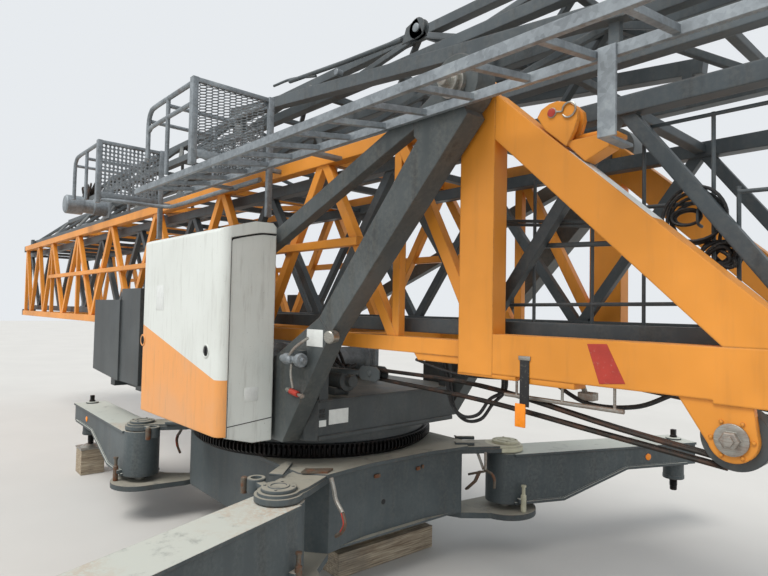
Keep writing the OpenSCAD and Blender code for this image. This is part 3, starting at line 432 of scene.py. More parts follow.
def skinRings(mesh, rings, sides):              # a ring of one point closes to a tip
    for first, second in zip(rings, rings[1:]):
        for i in range(sides):
            j = (i + 1) % sides
            quad = [first[i % len(first)], first[j % len(first)],
                    second[j % len(second)], second[i % len(second)]]
            quad = [v for k, v in enumerate(quad) if v not in quad[:k]]
            if len(quad) > 2:
                mesh.faces.new(quad)
    if len(rings[0]) > 2:
        mesh.faces.new(rings[0][::-1])
    if len(rings[-1]) > 2:
        mesh.faces.new(rings[-1])


def addLathe(mesh, start, direction, profile, sides=24):    # profile of (distance along, radius) pairs
    start, direction = Vector(start), Vector(direction).normalized()
    side, over = axes(direction)
    rings = []
    for along, radius in profile:
        centre = start + direction * along
        rings.append(ringOf(mesh, centre, side, over, radius, sides) if radius else [mesh.verts.new(centre)])
    skinRings(mesh, rings, sides)


def addRod(mesh, start, end, radius, sides=12):
    length = (Vector(end) - Vector(start)).length
    addLathe(mesh, start, Vector(end) - Vector(start), [(0, radius), (length, radius)], sides)


def smoothPath(points, steps=8):                # Catmull-Rom through the points
    points = [Vector(p) for p in points]
    padded = [points[0] * 2 - points[1]] + points + [points[-1] * 2 - points[-2]]
    path = []
    for a, b, c, d in zip(padded, padded[1:], padded[2:], padded[3:]):
        for i in range(steps):
            t = i / steps
            path.append(0.5 * ((2 * b) + (c - a) * t + (2 * a - 5 * b + 4 * c - d) * t * t
                               + (3 * b - a - 3 * c + d) * t ** 3))
    return path + [points[-1]]


def addTube(mesh, path, radius, sides=8):
    path = [Vector(p) for p in path]
    rings, side = [], None
    for i, point in enumerate(path):
        ahead = (path[min(i + 1, len(path) - 1)] - path[max(i - 1, 0)]).normalized()
        if side is None:
            side = axes(ahead)[0]
        side = (side - ahead * side.dot(ahead)).normalized()
        rings.append(ringOf(mesh, point, side, ahead.cross(side), radius, sides))
    skinRings(mesh, rings, sides)


def addHose(mesh, points, radius, steps=6, sides=8):
    addTube(mesh, smoothPath(points, steps), radius, sides)


def addPlate(mesh, outline, start, thick, plane="xz"):     # thick along the plane's third axis
    order = {"xz": lambda a, b, c: (a, c, b), "xy": lambda a, b, c: (a, b, c)}[plane]
    low = [mesh.verts.new(order(a, b, start)) for a, b in outline]
    high = [mesh.verts.new(order(a, b, start + thick)) for a, b in outline]
    mesh.faces.new(low)
    mesh.faces.new(high[::-1])
    for i in range(len(outline)):
        mesh.faces.new((low[i - 1], high[i - 1], high[i], low[i]))


def circle(centre, radius, count=24, start=0.0, sweep=360.0):
    turns = [math.radians(start + sweep * i / (count - (sweep < 360))) for i in range(count)]
    return [(centre[0] + radius * math.cos(t), centre[1] + radius * math.sin(t)) for t in turns]


def placeObject(name, data):
    thing = bpy.data.objects.new(name, data)
    bpy.context.scene.collection.objects.link(thing)
    return thing


def finishPiece(name, mesh, finish, body, replaced=()):
    bmesh.ops.recalc_face_normals(mesh, faces=mesh.faces[:])
    data = bpy.data.meshes.new(name)
    mesh.to_mesh(data)
    mesh.free()
    return settle(placeObject(name, data), finish, body, replaced)


def settle(piece, finish, body, replaced=(), smooth=35.0):
    piece.data.materials.clear()
    piece.data.materials.append(finishes[finish])
    piece.data.polygons.foreach_set("use_smooth", [True] * len(piece.data.polygons))
    piece.data.set_sharp_from_angle(angle=math.radians(smooth))
    if body:
        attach(piece, body)
    finish in slotOfFinish
    if replaced:
        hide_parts(*replaced)
    return piece


def makePieces(body, pieces, replaced=()):      # each piece by name: its finish, then its shapes
    for name, (finish, *shapes) in pieces.items():
        mesh = bmesh.new()
        for addShape, *values in shapes:
            addShape(mesh, *values)
        finishPiece(name, mesh, finish, body, [node for piece, node in replaced if piece == name])


def growTree(name, inputs, build):              # inputs by name, each with its kind and value
    tree = bpy.data.node_groups.new(name, "GeometryNodeTree")
    tree.interface.new_socket("Geometry", in_out="INPUT", socket_type="NodeSocketGeometry")
    for label, (kind, value) in inputs.items():
        socket = tree.interface.new_socket(label, in_out="INPUT", socket_type="NodeSocket" + kind)
        socket.default_value = value
    tree.interface.new_socket("Geometry", in_out="OUTPUT", socket_type="NodeSocketGeometry")
    graph = Graph(tree)
    start = graph.node("NodeGroupInput", {}, {})
    sockets = {label: start.out(label) for label in inputs}
    sockets["Geometry"] = start
    shape = build(graph, sockets)
    shape = graph.node("GeometryNodeRealizeInstances", {}, {0: shape})
    shape = graph.node("GeometryNodeSetMaterial", {}, {0: shape})
    graph.node("NodeGroupOutput", {}, {0: shape})
    return tree


def grow(name, tree, values, finish, body, base=None, replaced=()):
    data = bpy.data.meshes.new(name + "Base")
    if base is not None:
        base.to_mesh(data)
        base.free()
    carrier = placeObject(name + "Base", data)
    modifier = carrier.modifiers.new("grow", "NODES")
    modifier.node_group = tree
    known = {item.name: item.identifier for item in tree.interface.items_tree if item.in_out == "INPUT"}
    for label, value in values.items():
        modifier[known[label]] = value
    for item in tree.nodes:
        if item.bl_idname == "GeometryNodeSetMaterial":
            item.inputs["Material"].default_value = finishes[finish]
    bpy.context.view_layer.update()
    evaluated = carrier.evaluated_get(bpy.context.evaluated_depsgraph_get())
    result = bpy.data.meshes.new_from_object(evaluated)
    result.name = name
    carrier.modifiers.clear()
    bpy.data.objects.remove(carrier)
    return settle(placeObject(name, result), finish, body, replaced)


ringLook = {"teeth": 168, "rootRadius": 0.893, "tipRadius": 0.9148, "bore": 0.740, "low": 0.7901,
            "high": 0.870, "baseLow": 0.7752, "baseRadius": 0.870, "toothTip": 0.0065, "toothRoot": 0.0135}


def toothTree(graph, sockets):
    ring = graph.node("GeometryNodeCurvePrimitiveCircle", {"mode": "RADIUS"},
                      {"Resolution": sockets["Teeth"], "Radius": sockets["Ring radius"]})
    points = graph.node("GeometryNodeCurveToPoints", {"mode": "EVALUATED"}, {"Curve": ring})
    tooth = graph.node("GeometryNodeMeshCone", {}, {"Vertices": 4, "Side Segments": 1,
                                                    "Radius Top": sockets["Tip"], "Radius Bottom": sockets["Root"],
                                                    "Depth": sockets["Height of tooth"]})
    flat = graph.node("GeometryNodeTransform", {}, {"Geometry": tooth, "Rotation": (0, 0, math.pi / 4)})
    laid = graph.node("GeometryNodeTransform", {}, {"Geometry": flat, "Rotation": (0, math.pi / 2, 0)})
    tall = graph.node("GeometryNodeTransform", {}, {"Geometry": laid, "Scale": sockets["Stretch"]})
    where = graph.node("GeometryNodeInputPosition")
    turn = graph.node("FunctionNodeAlignRotationToVector", {"axis": "X"}, {"Vector": where})
    placed = graph.node("GeometryNodeInstanceOnPoints", {},
                        {"Points": points, "Instance": tall, "Rotation": turn})
    lifted = graph.node("GeometryNodeTransform", {}, {"Geometry": placed, "Translation": sockets["Lift"]})
    return joined(graph, sockets["Geometry"], lifted)


def joined(graph, *shapes):
    made = graph.node("GeometryNodeJoinGeometry")
    for shape in shapes:
        graph.tree.links.new(shape.socket, made.socket.node.inputs[0])
    return made


def makeRing(look):
    mesh = bmesh.new()
    outline = [(look["baseLow"], look["bore"]), (look["baseLow"], look["baseRadius"]),
               (look["low"], look["baseRadius"]), (look["low"], look["rootRadius"]),
               (look["high"], look["rootRadius"]), (look["high"], look["bore"])]
    rings = [[mesh.verts.new((r * x, r * y, z)) for z, r in outline]
             for x, y in circle((0, 0), 1, look["teeth"])]
    for i, ring in enumerate(rings):
        for k in range(len(outline)):
            mesh.faces.new((rings[i - 1][k - 1], ring[k - 1], ring[k], rings[i - 1][k]))
    bmesh.ops.recalc_face_normals(mesh, faces=mesh.faces[:])
    deep = look["tipRadius"] - look["rootRadius"] + 0.004
    tall = (look["high"] - look["low"] - 0.002) / look["toothRoot"] / 1.4143
    tree = growTree("gearTeeth", {
        "Teeth": ("Int", look["teeth"]), "Ring radius": ("Float", 0.9), "Tip": ("Float", 0.006),
        "Root": ("Float", 0.011), "Height of tooth": ("Float", 0.02), "Stretch": ("Vector", (1, 1, 1)),
        "Lift": ("Vector", (0, 0, 0))}, toothTree)
    grow("slewingRing", tree, {
        "Teeth": look["teeth"], "Ring radius": look["rootRadius"] - 0.004, "Tip": look["toothTip"],
        "Root": look["toothRoot"], "Height of tooth": deep, "Stretch": (1.0, 1.0, tall),
        "Lift": (0.0, 0.0, (look["low"] + look["high"]) / 2)},
        "greasedGear", "undercarriage", mesh, ["slewing_ring_gear"])


makeRing(ringLook)
print("stage: slewing ring")

screwLook = {"core": 0.0275, "threadRadius": 0.0045, "pitch": 0.012, "foot": 0.035, "square": 0.034}


def threadTree(graph, sockets):
    spiral = graph.node("GeometryNodeCurveSpiral", {}, {
        "Resolution": 14, "Rotations": sockets["Turns"], "Start Radius": sockets["Radius"],
        "End Radius": sockets["Radius"], "Height": sockets["Length"]})
    profile = graph.node("GeometryNodeCurvePrimitiveCircle", {"mode": "RADIUS"},
                         {"Resolution": 4, "Radius": sockets["Thread"]})
    wound = graph.node("GeometryNodeCurveToMesh", {}, {"Curve": spiral, "Profile Curve": profile})
    placed = graph.node("GeometryNodeTransform", {}, {"Geometry": wound, "Translation": sockets["Place"]})
    return joined(graph, sockets["Geometry"], placed)


threadSizes = {"Turns": ("Float", 10.0), "Radius": ("Float", 0.03), "Length": ("Float", 0.4),
               "Thread": ("Float", 0.004), "Place": ("Vector", (0, 0, 0))}
spiralTree = growTree("screwThread", threadSizes, threadTree)


def makeSpindles(look):
    for corner in ("front_right", "front_left", "rear_right", "rear_left"):
        low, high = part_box("spindle_" + corner)
        centre, tall = (low + high) / 2, high.z - low.z
        mesh = bmesh.new()
        at = Vector((centre.x, centre.y, low.z))
        addLathe(mesh, at, (0, 0, 1), [(0, 0.024), (0.006, look["core"]), (tall - 0.05, look["core"]),
                                       (tall - 0.045, 0.022), (tall - 0.04, 0.022)], 20)
        addBox(mesh, (at.x - 0.019, at.y - 0.019, high.z - 0.042), (at.x + 0.019, at.y + 0.019, high.z), 0.003)
        long = tall - look["foot"] - 0.06
        grow("screw_" + corner, spiralTree, {
            "Turns": long / look["pitch"], "Radius": look["core"], "Length": long, "Thread": look["threadRadius"],
            "Place": (at.x, at.y, low.z + look["foot"])}, "screwSteel", "screw_" + corner, mesh,
            ["spindle_" + corner])


makeSpindles(screwLook)
print("stage: spindles")

undercarriageLook = {
    "turn": -2.0, "pivot": (1.13, 0.97), "armTop": 0.710, "armLow": 0.345, "tipLow": 0.535,
    "level": 0.42, "taperEnd": 1.0, "armLength": 1.60, "rootHalf": 0.1425, "taper": 0.003,
    "turns": {"front_right": -69, "front_left": 68, "rear_right": 180, "rear_left": 180},
}
sideOf = {"front_right": (1, -1), "front_left": (1, 1), "rear_right": (-1, -1), "rear_left": (-1, 1)}


def basePoint(x, y, z):                         # from the undercarriage's own axes to the crane's
    turn = math.radians(undercarriageLook["turn"])
    return Vector((x * math.cos(turn) - y * math.sin(turn), x * math.sin(turn) + y * math.cos(turn), z))


def armPoint(corner, along, across, z):         # a point given along and across one arm
    sx, sy = sideOf[corner]
    turn = math.radians(undercarriageLook["turns"][corner])
    px, py = undercarriageLook["pivot"]
    return basePoint(sx * px + along * math.cos(turn) - across * math.sin(turn),
                     sy * py + along * math.sin(turn) + across * math.cos(turn), z)


armLook = {
    "seam": 0.006, "seamInset": 0.0195, "seamStart": 0.16, "topEnd": 1.68, "lowEnd": 1.51,
    "collars": ((0.3905, [(0, 0.072), (0.004, 0.0835), (0.03, 0.0835), (0.034, 0.080)], 28),
                (0.7102, [(0, 0.056), (0.004, 0.060), (0.012, 0.060), (0.016, 0.054)], 24)),
    "lockAlong": 0.052, "lockAcross": 0.183, "lockLow": 0.3005,
    "lock": [(0, 0.016), (0.004, 0.020), (0.12, 0.020), (0.126, 0.013), (0.178, 0.013), (0.180, 0.019),
             (0.192, 0.019), (0.196, 0.0)],
    "lensAlong": 1.21, "lensHeight": 0.618, "lens": [(0, 0.026), (0.005, 0.026), (0.009, 0.019), (0.010, 0.0)],
}


def makeArmDetails(base, look):
    top, low = base["armTop"] - look["seamInset"], base["armLow"] + look["seamInset"]
    rise = base["tipLow"] - base["armLow"]
    seams = [[(look["seamStart"], top), (look["topEnd"], top)],
             [(look["seamStart"], low), (base["level"], low), (base["taperEnd"], low + rise),
              (look["lowEnd"], low + rise)]]
    for corner, (sx, sy) in sideOf.items():
        body = "arm_" + corner
        fittings, pin, lens = bmesh.new(), bmesh.new(), bmesh.new()
        for side in (-1, 1):                    # weld seams along the edges, a reflector on each side
            for seam in seams:
                path = [armPoint(corner, along, side * (base["rootHalf"] - base["taper"] * along), z)
                        for along, z in seam]
                addTube(fittings, path, look["seam"], 6)
            half = base["rootHalf"] - base["taper"] * look["lensAlong"]
            at = armPoint(corner, look["lensAlong"], side * (half - 0.001), look["lensHeight"])
            addLathe(lens, at, armPoint(corner, 0, side, 0) - armPoint(corner, 0, 0, 0), look["lens"], 20)
        for height, profile, sides in look["collars"]:
            addLathe(fittings, armPoint(corner, base["armLength"], 0, height), skyward, profile, sides)
        across = -look["lockAcross"] * sy       # upright lock pin beside the arm's root, on its arm
        addBar(fittings, armPoint(corner, look["lockAlong"], across * 0.75, 0.375),
               armPoint(corner, look["lockAlong"], across, 0.375), 0.06, 0.03, 0.003, skyward)
        addLathe(pin, armPoint(corner, look["lockAlong"], across, look["lockLow"]), skyward, look["lock"], 16)
        finishPiece("armFittings_" + corner, fittings, "armPaint", body)
        finishPiece("lockPin_" + corner, pin, "creamPaint" if sy > 0 else "rustySteel", body)
        finishPiece("armReflectors_" + corner, lens, "amberLens", body)


makeArmDetails(undercarriageLook, armLook)

pivotLook = {
    "capLow": 0.7668, "cap": [(0, 0.0956), (0.001, 0.0966), (0.0165, 0.0966), (0.019, 0.0936), (0.0191, 0.060),
                              (0.0235, 0.057), (0.0235, 0.045), (0.0193, 0.042)],
    "boltCircle": 0.078, "boltLow": 0.7858, "bolt": [(0, 0.008), (0.005, 0.008), (0.006, 0.006), (0.006, 0.0)],
    "forks": (((0.843, 0.728), (0.928, 0.850)), ((0.981, 0.579), (1.063, 0.695))),
    "forkBolt": [(0, 0.009), (0.006, 0.009), (0.007, 0.0)],
    "boss": [(0, 0.050), (0.004, 0.054), (0.078, 0.054), (0.082, 0.050), (0.082, 0.032), (0.06, 0.030)],
    "bossPin": [(0, 0.014), (0.004, 0.020), (0.09, 0.020), (0.096, 0.012)],
    "hanging": [(1.1215, 0.767), (1.1525, 0.705), (1.1735, 0.654), (1.2405, 0.598), (1.2645, 0.544),
                (1.2355, 0.491), (1.1815, 0.453)],
    "rods": (((1.0835, 0.735), (1.1525, 0.609)), ((1.1675, 0.735), (1.1695, 0.613))),
    "hook": [(1.1525, 0.620), (1.1865, 0.605), (1.2275, 0.594), (1.2525, 0.557), (1.2505, 0.501)],
    "lever": (((1.0175, 0.547), (1.1695, 0.602), 0.034), ((0.9915, 0.432), (1.0745, 0.509), 0.034),
              ((1.0695, 0.500), (1.1165, 0.590), 0.030)),
    "holes": ((1.0005, -0.115, 0.500, 0.017), (1.012, -0.40, 0.345, 0.009), (1.012, -0.36, 0.345, 0.009)),
    "rustMarks": ((-0.20, 0.665, 0.05), (0.17, 0.655, 0.035), (0.22, 0.66, 0.02)),
    "flange": ((0.99, -0.58), (1.035, -0.55), (1.035, 0.55), (0.99, 0.58)),
    "deckPlate": [(0.86, -0.93), (0.93, -0.88), (0.74, -0.69), (0.69, -0.70)],
    "rustyPlate": [(0.90, -0.70), (0.945, -0.765), (1.04, -0.64), (1.0, -0.57)],
}


def makePivot(corner, pivot, look, meshes):
    grey, cream, rusty, bright, line, hole = meshes
    sx, sy = sideOf[corner]

    def at(x, y, z):                            # given as on the front left corner
        return basePoint(sx * x, sy * y, z)

    addLathe(cream if corner == "front_left" else grey, at(*pivot, look["capLow"]), skyward, look["cap"], 40)
    for x, y in circle((0, 0), look["boltCircle"], 4, 45):
        addLathe(grey, at(*pivot, look["boltLow"]) + Vector((x, y, 0)), skyward, look["bolt"], 6)
    if corner != "front_right":                 # fork of the arm's stop, on the deck and the clevis plate
        for start, end in look["forks"]:
            addBar(grey, at(*start, 0.778), at(*end, 0.778), 0.030, 0.024, 0.003, skyward)
            addLathe(grey, at(*start, 0.789), skyward, look["forkBolt"], 6)
    if sy < 0:                                  # eye boss beside the clevis with its hanging pin
        addLathe(grey, at(0.871, 0.967, 0.690), skyward, look["boss"], 28)
        addBar(grey, at(0.905, 0.967, 0.742), at(1.02, 0.97, 0.742), 0.05, 0.03, 0.003, skyward)
        addLathe(rusty, at(0.826, 1.020, 0.680), skyward, look["bossPin"], 14)
        points = [at(x, 0.62, z) for x, z in look["hanging"]]
        addHose(bright, points[:4], 0.013, 5)
        addHose(rusty, points[3:], 0.011, 5)
        addHose(line, [p + Vector((0.0, -0.011, 0.004)) for p in points[3:6]], 0.004, 5, 5)
    else:                                       # two hanging rods, their hook and the forked lever
        for (x0, z0), (x1, z1) in look["rods"]:
            addTube(bright, [at(x0, 0.70, z0), at(x1, 0.70, z1)], 0.010)
        addHose(rusty, [at(x, 0.70, z) for x, z in look["hook"]], 0.010, 5)
        for (x0, z0), (x1, z1), deep in look["lever"]:
            addBar(rusty, at(x0, 0.70, z0), at(x1, 0.70, z1), 0.016, deep, 0.003)


def makePivots(pivot, look):
    meshes = grey, cream, rusty, bright, line, hole = [bmesh.new() for k in range(6)]
    for corner in sideOf:
        makePivot(corner, pivot, look, meshes)
    # painted shade: thin black discs on the frame's face stand for the dark insides of its holes
    for x, y, z, radius in look["holes"]:
        addLathe(hole, basePoint(x, y, z), toFoot, [(0, radius), (0.0012, radius)], 16)
    for y, z, wide in look["rustMarks"]:
        addBox(rusty, basePoint(0.999, y, z), basePoint(1.012, y + wide, z + 0.025), 0.004)
    for side in (-1, 1):                        # flange along the foot of the front and the rear
        addPlate(grey, [basePoint(side * x, y, 0).xy for x, y in look["flange"]], 0.3015, 0.014, "xy")
    addPlate(grey, look["deckPlate"], 0.7755, 0.0125, "xy")
    addPlate(rusty, look["rustyPlate"], 0.7755, 0.0115, "xy")
    finishPiece("pivotFittings", grey, "undercarriagePaint", "undercarriage")
    # the black discs made above are painted shade of the frame's holes
    finishPiece("frameHoleShade", hole, "blackRubber", "undercarriage")
    finishPiece("creamCap", cream, "creamPaint", "undercarriage")
    finishPiece("leverRods", bright, "machinedSteel", "undercarriage")
    finishPiece("leverHooks", rusty, "rustySteel", "undercarriage")
    finishPiece("leverLines", line, "redPaint", "undercarriage")


makePivots(undercarriageLook["pivot"], pivotLook)


def boltTree(graph, sockets):                   # hexagon heads on the points of the base mesh
    head = graph.node("GeometryNodeMeshCylinder", {}, {"Vertices": 6, "Radius": sockets["Head"],
                                                       "Depth": sockets["Thick"]})
    washer = graph.node("GeometryNodeMeshCylinder", {}, {"Vertices": 14, "Radius": sockets["Washer"],
                                                         "Depth": sockets["Thick"] * 0.3})
    rise = graph.node("ShaderNodeCombineXYZ", {}, {"Z": sockets["Thick"] * 0.6})
    lifted = graph.node("GeometryNodeTransform", {}, {"Geometry": head, "Translation": rise})
    bolt = joined(graph, lifted, washer)
    turn = graph.node("FunctionNodeAlignRotationToVector", {"axis": "Z"}, {"Vector": sockets["Facing"]})
    return graph.node("GeometryNodeInstanceOnPoints", {},
                      {"Points": sockets["Geometry"], "Instance": bolt, "Rotation": turn})


boltSizes = {"Head": ("Float", 0.012), "Thick": ("Float", 0.009), "Washer": ("Float", 0.017),
             "Facing": ("Vector", (0, 0, 1))}
raceLook = {"count": 48, "circle": 0.805, "top": 0.7775, "head": 0.014, "thick": 0.004, "washer": 0.019}


def makeRaceBolts(look):
    mesh = bmesh.new()
    for x, y in circle((0, 0), look["circle"], look["count"]):
        mesh.verts.new((x, y, look["top"]))
    sizes = {"Head": look["head"], "Thick": look["thick"], "Washer": look["washer"], "Facing": (0.0, 0.0, 1.0)}
    grow("raceBolts", growTree("boltHeads", boltSizes, boltTree), sizes, "greasedGear", "undercarriage", mesh)


makeRaceBolts(raceLook)
print("stage: undercarriage")

handles = ((-0.486, 1.493), (0.546, 1.482))
handleRim = [(0, 0.044), (0.006, 0.043), (0.009, 0.038), (0.008, 0.034), (0.004, 0.030), (0.001, 0.029)]
handleCup = [(0, 0.030), (0.001, 0.028), (0.0, 0.006), (0.003, 0.005), (0.004, 0.0)]
makePieces("hood", {
    "handleRims": ["cabinetSkin", *[(addLathe, (x, -1.187, z), outward, handleRim, 32) for x, z in handles]],
    "handleCups": [
        "blackRubber",
        *[(addLathe, (x, -1.1935, z), outward, handleCup, 28) for x, z in handles],
        *[(addBox, (x - 0.006, -1.200, z - 0.022), (x + 0.006, -1.194, z + 0.022), 0.002) for x, z in handles]],
    "hoodPlates": ["whitePlate", (addBox, (-0.255, -1.1915, 1.715), (-0.125, -1.189, 1.885), 0.0006)],
})
sealPath = ((-1.1315, 0.99), (-1.1315, 1.5), (-1.1315, 2.08), (-1.128, 2.135), (-1.10, 2.153), (-0.94, 2.1915),
            (-0.835, 2.196))                    # round the fixed side panels
skirtPath = ((-1.128, 1.05), (-1.0, 1.062), (-0.832, 1.078))     # across them, above their skirt
makePieces("platform", {
    "sidePlate": ["whitePlate", (addBox, (0.711, -1.02, 1.19), (0.7135, -0.93, 1.27), 0.0006)],
    "hoodSeals": ["blackRubber", *[(addHose, [(x, y, z) for y, z in sealPath], 0.0052, 6, 6)
                                   for x in (0.7115, -0.5245)]],
    "skirtSeams": ["blackRubber", *[(addTube, [(x, y, z) for y, z in skirtPath], 0.003, 6)
                                    for x in (0.711, -0.524)]],
})
print("stage: cabinet")

platformLook = {
    "first": 0.37, "second": -1.56, "outer": -1.24, "inner": -0.698, "low": 2.6845, "high": 3.176,
    "tube": 0.0165, "strand": 0.0042, "cellsAcross": 13, "cellsUp": 26, "holesAcross": 14, "holesUp": 13,
    "railY": -1.228, "guardY": -0.718, "sideY": -0.712,
    "bars": (                                   # of each platform's frame, along the crane from its place
        ((-0.045, 0.004), (-1.248, -1.208), (2.6295, 3.180), 0.004),
        ((-0.020, 0.010), (-0.710, -0.668), (2.362, 3.184), 0.004),
        ((-0.024, 0.002), (-1.220, -0.698), (3.148, 3.178), 0.003),
        ((-0.024, 0.002), (-1.220, -0.698), (2.6765, 2.7265), 0.003),
        ((-0.020, 0.010), (-0.670, -0.600), (2.672, 2.700), 0.003)),
    "bends": (
        (1.0, ((0.35, 3.150), (0.0, 3.150), (-0.30, 3.148), (-0.375, 3.128), (-0.412, 3.060), (-0.415, 2.90),
               (-0.415, 2.80))),
        (0.9, ((0.35, 3.020), (-0.02, 3.020), (-0.33, 3.018), (-0.395, 3.0))),
        (1.0, ((-1.58, 3.150), (-1.9, 3.150), (-2.22, 3.148), (-2.30, 3.12), (-2.335, 3.05), (-2.337, 2.75)))),
    "posts": ((-0.06, 2.63), (-1.95, 2.70)),
    "guards": ((0.35, -0.42, -0.415), (-1.58, -2.345, -2.337)),     # a rail's two ends, its post
    "crossRails": ((-0.06, 3.10), (-0.415, 3.075), (-1.95, 3.08), (-2.337, 3.08)),
    "sideFrame": (((-0.44, 2.72), (-0.44, 3.0)), ((0.30, 2.72), (0.30, 3.0)),
                  ((-0.44, 2.725), (0.30, 2.725)), ((-0.44, 2.995), (0.30, 2.995))),
    "longRail": ((-1.575, -1.20, 2.66), (-1.50, -1.02, 2.652), (-1.50, -0.78, 2.652), (-1.44, -0.655, 2.652),
                 (-1.25, -0.628, 2.655), (-0.6, -0.625, 2.66), (0.13, -0.625, 2.665)),
    "holeHeights": (2.72, 2.86, 3.0, 3.12), "hole": [(0, 0.011), (0.002, 0.010), (0.001, 0.006), (0.0015, 0.0)],
}


def meshTree(graph, sockets):                   # expanded metal: six-sided cells between the frame bars
    grid = graph.node("GeometryNodeMeshGrid", {}, {"Size X": sockets["Wide"], "Size Y": sockets["Tall"],
                                                   "Vertices X": sockets["Across"], "Vertices Y": sockets["Up"]})
    cut = graph.node("GeometryNodeTriangulate", {"quad_method": "FIXED"}, {"Mesh": grid})
    cells = graph.node("GeometryNodeDualMesh", {}, {"Mesh": cut})
    lines = graph.node("GeometryNodeMeshToCurve", {}, {"Mesh": cells})
    profile = graph.node("GeometryNodeCurvePrimitiveCircle", {"mode": "RADIUS"},
                         {"Resolution": 4, "Radius": sockets["Strand"]})
    wire = graph.node("GeometryNodeCurveToMesh", {}, {"Curve": lines, "Profile Curve": profile})
    return graph.node("GeometryNodeTransform", {}, {"Geometry": wire, "Rotation": sockets["Turn"],
                                                    "Translation": sockets["Place"]})


expanded = growTree("expandedMetal", {
    "Wide": ("Float", 0.5), "Tall": ("Float", 0.5), "Across": ("Int", 12), "Up": ("Int", 24),
    "Strand": ("Float", 0.004), "Turn": ("Vector", (0, 0, 0)), "Place": ("Vector", (0, 0, 0))}, meshTree)


def holeTree(graph, sockets):                   # the base mesh is one cell with its hole
    grid = graph.node("GeometryNodeMeshGrid", {}, {"Size X": sockets["Wide"], "Size Y": sockets["Tall"],
                                                   "Vertices X": sockets["Across"], "Vertices Y": sockets["Up"]})
    cells = graph.node("GeometryNodeInstanceOnPoints", {}, {"Points": grid, "Instance": sockets["Geometry"]})
    real = graph.node("GeometryNodeRealizeInstances", {}, {0: cells})
    merged = graph.node("GeometryNodeMergeByDistance", {}, {"Geometry": real, "Distance": 0.0005})
    thick = graph.node("GeometryNodeExtrudeMesh", {"mode": "FACES"}, {"Mesh": merged, "Offset Scale":
                                                                      sockets["Sheet"], "Individual": False})
    both = joined(graph, thick, graph.node("GeometryNodeFlipFaces", {}, {"Mesh": merged}))
    return graph.node("GeometryNodeTransform", {}, {"Geometry": both, "Rotation": sockets["Turn"],
                                                    "Translation": sockets["Place"]})


perforated = growTree("perforatedSheet", {
    "Wide": ("Float", 0.5), "Tall": ("Float", 0.5), "Across": ("Int", 12), "Up": ("Int", 12),
    "Sheet": ("Float", 0.003), "Turn": ("Vector", (0, 0, 0)), "Place": ("Vector", (0, 0, 0))}, holeTree)


def holeCell(wide, tall, radius, sides=12):
    mesh = bmesh.new()
    rim, edge = [], []
    for c, d in circle((0, 0), 1, sides, 180 / sides):
        reach = min(wide / 2 / max(abs(c), 1e-6), tall / 2 / max(abs(d), 1e-6))
        rim.append(mesh.verts.new((radius[0] * c, radius[1] * d, 0)))
        edge.append(mesh.verts.new((reach * c, reach * d, 0)))
    for k in range(sides):
        m = (k + 1) % sides
        mesh.faces.new((rim[k], edge[k], edge[m], rim[m]))
    for sx, sy in ((1, 1), (-1, 1), (-1, -1), (1, -1)):      # close the corners
        corner = mesh.verts.new((sx * wide / 2, sy * tall / 2, 0))
        near = sorted(edge, key=lambda v: (v.co - corner.co).length)[:2]
        face = mesh.faces.new((near[0], near[1], corner))
        if face.normal.z < 0:
            face.normal_flip()
    bmesh.ops.recalc_face_normals(mesh, faces=mesh.faces[:])
    return mesh


def makeServicePlatforms(look):
    turn = (math.pi / 2, 0.0, math.pi / 2)      # a flat sheet stood up across the crane
    wide, tall = look["inner"] - look["outer"], look["high"] - look["low"]
    midY, midZ = (look["outer"] + look["inner"]) / 2, (look["high"] + look["low"]) / 2
    grow("firstPlatformMesh", expanded, {
        "Wide": wide - 0.05, "Tall": tall - 0.02, "Across": look["cellsAcross"], "Up": look["cellsUp"],
        "Strand": look["strand"], "Turn": turn, "Place": (look["first"] - 0.010, midY, midZ)},
        "galvanised", "outer_tower", None, ["service_platforms"])
    grow("sideGuardMesh", expanded, {
        "Wide": 0.74, "Tall": 0.27, "Across": 17, "Up": 14, "Strand": look["strand"],
        "Turn": (math.pi / 2, 0.0, 0.0), "Place": (-0.07, look["sideY"], 2.86)}, "galvanised", "outer_tower")
    across, up = look["holesAcross"], look["holesUp"]
    cellW, cellT = (wide - 0.06) / across, (tall - 0.05) / up
    grow("secondPlatformSheet", perforated, {
        "Wide": cellW * (across - 1), "Tall": cellT * (up - 1), "Across": across, "Up": up, "Sheet": 0.004,
        "Turn": turn, "Place": (look["second"] - 0.012, midY, midZ)}, "galvanised", "outer_tower",
        holeCell(cellW, cellT, (cellW * 0.30, cellT * 0.36)))
    mesh = bmesh.new()
    tube, rail, guard, side = look["tube"], look["railY"], look["guardY"], look["sideY"]
    for x in (look["first"], look["second"]):
        for (x0, x1), (y0, y1), (z0, z1), bevel in look["bars"]:
            addBox(mesh, (x + x0, y0, z0), (x + x1, y1, z1), bevel)
    for share, bend in look["bends"]:
        addHose(mesh, [(x, rail, z) for x, z in bend], tube * share, 6, 10)
    for x, z in look["posts"]:
        addRod(mesh, (x, rail, z), (x, rail, 3.145), tube * 0.9, 10)
    for start, end, post in look["guards"]:
        addRod(mesh, (start, guard, 3.14), (end, guard, 3.14), tube, 10)
        addRod(mesh, (post, guard, 2.70), (post, guard, 3.14), tube, 10)
    for x, z in look["crossRails"]:
        addRod(mesh, (x, rail, z), (x, guard, z), tube * 0.85, 10)
    for (x0, z0), (x1, z1) in look["sideFrame"]:
        addRod(mesh, (x0, side, z0), (x1, side, z1), 0.010, 8)
    addHose(mesh, look["longRail"], 0.018, 6, 10)
    for z in look["holeHeights"]:
        addLathe(mesh, (look["first"] + 0.004, rail, z), toFoot, look["hole"], 12)
    finishPiece("platformFrames", mesh, "galvanised", "outer_tower")


makeServicePlatforms(platformLook)
print("stage: service platforms")


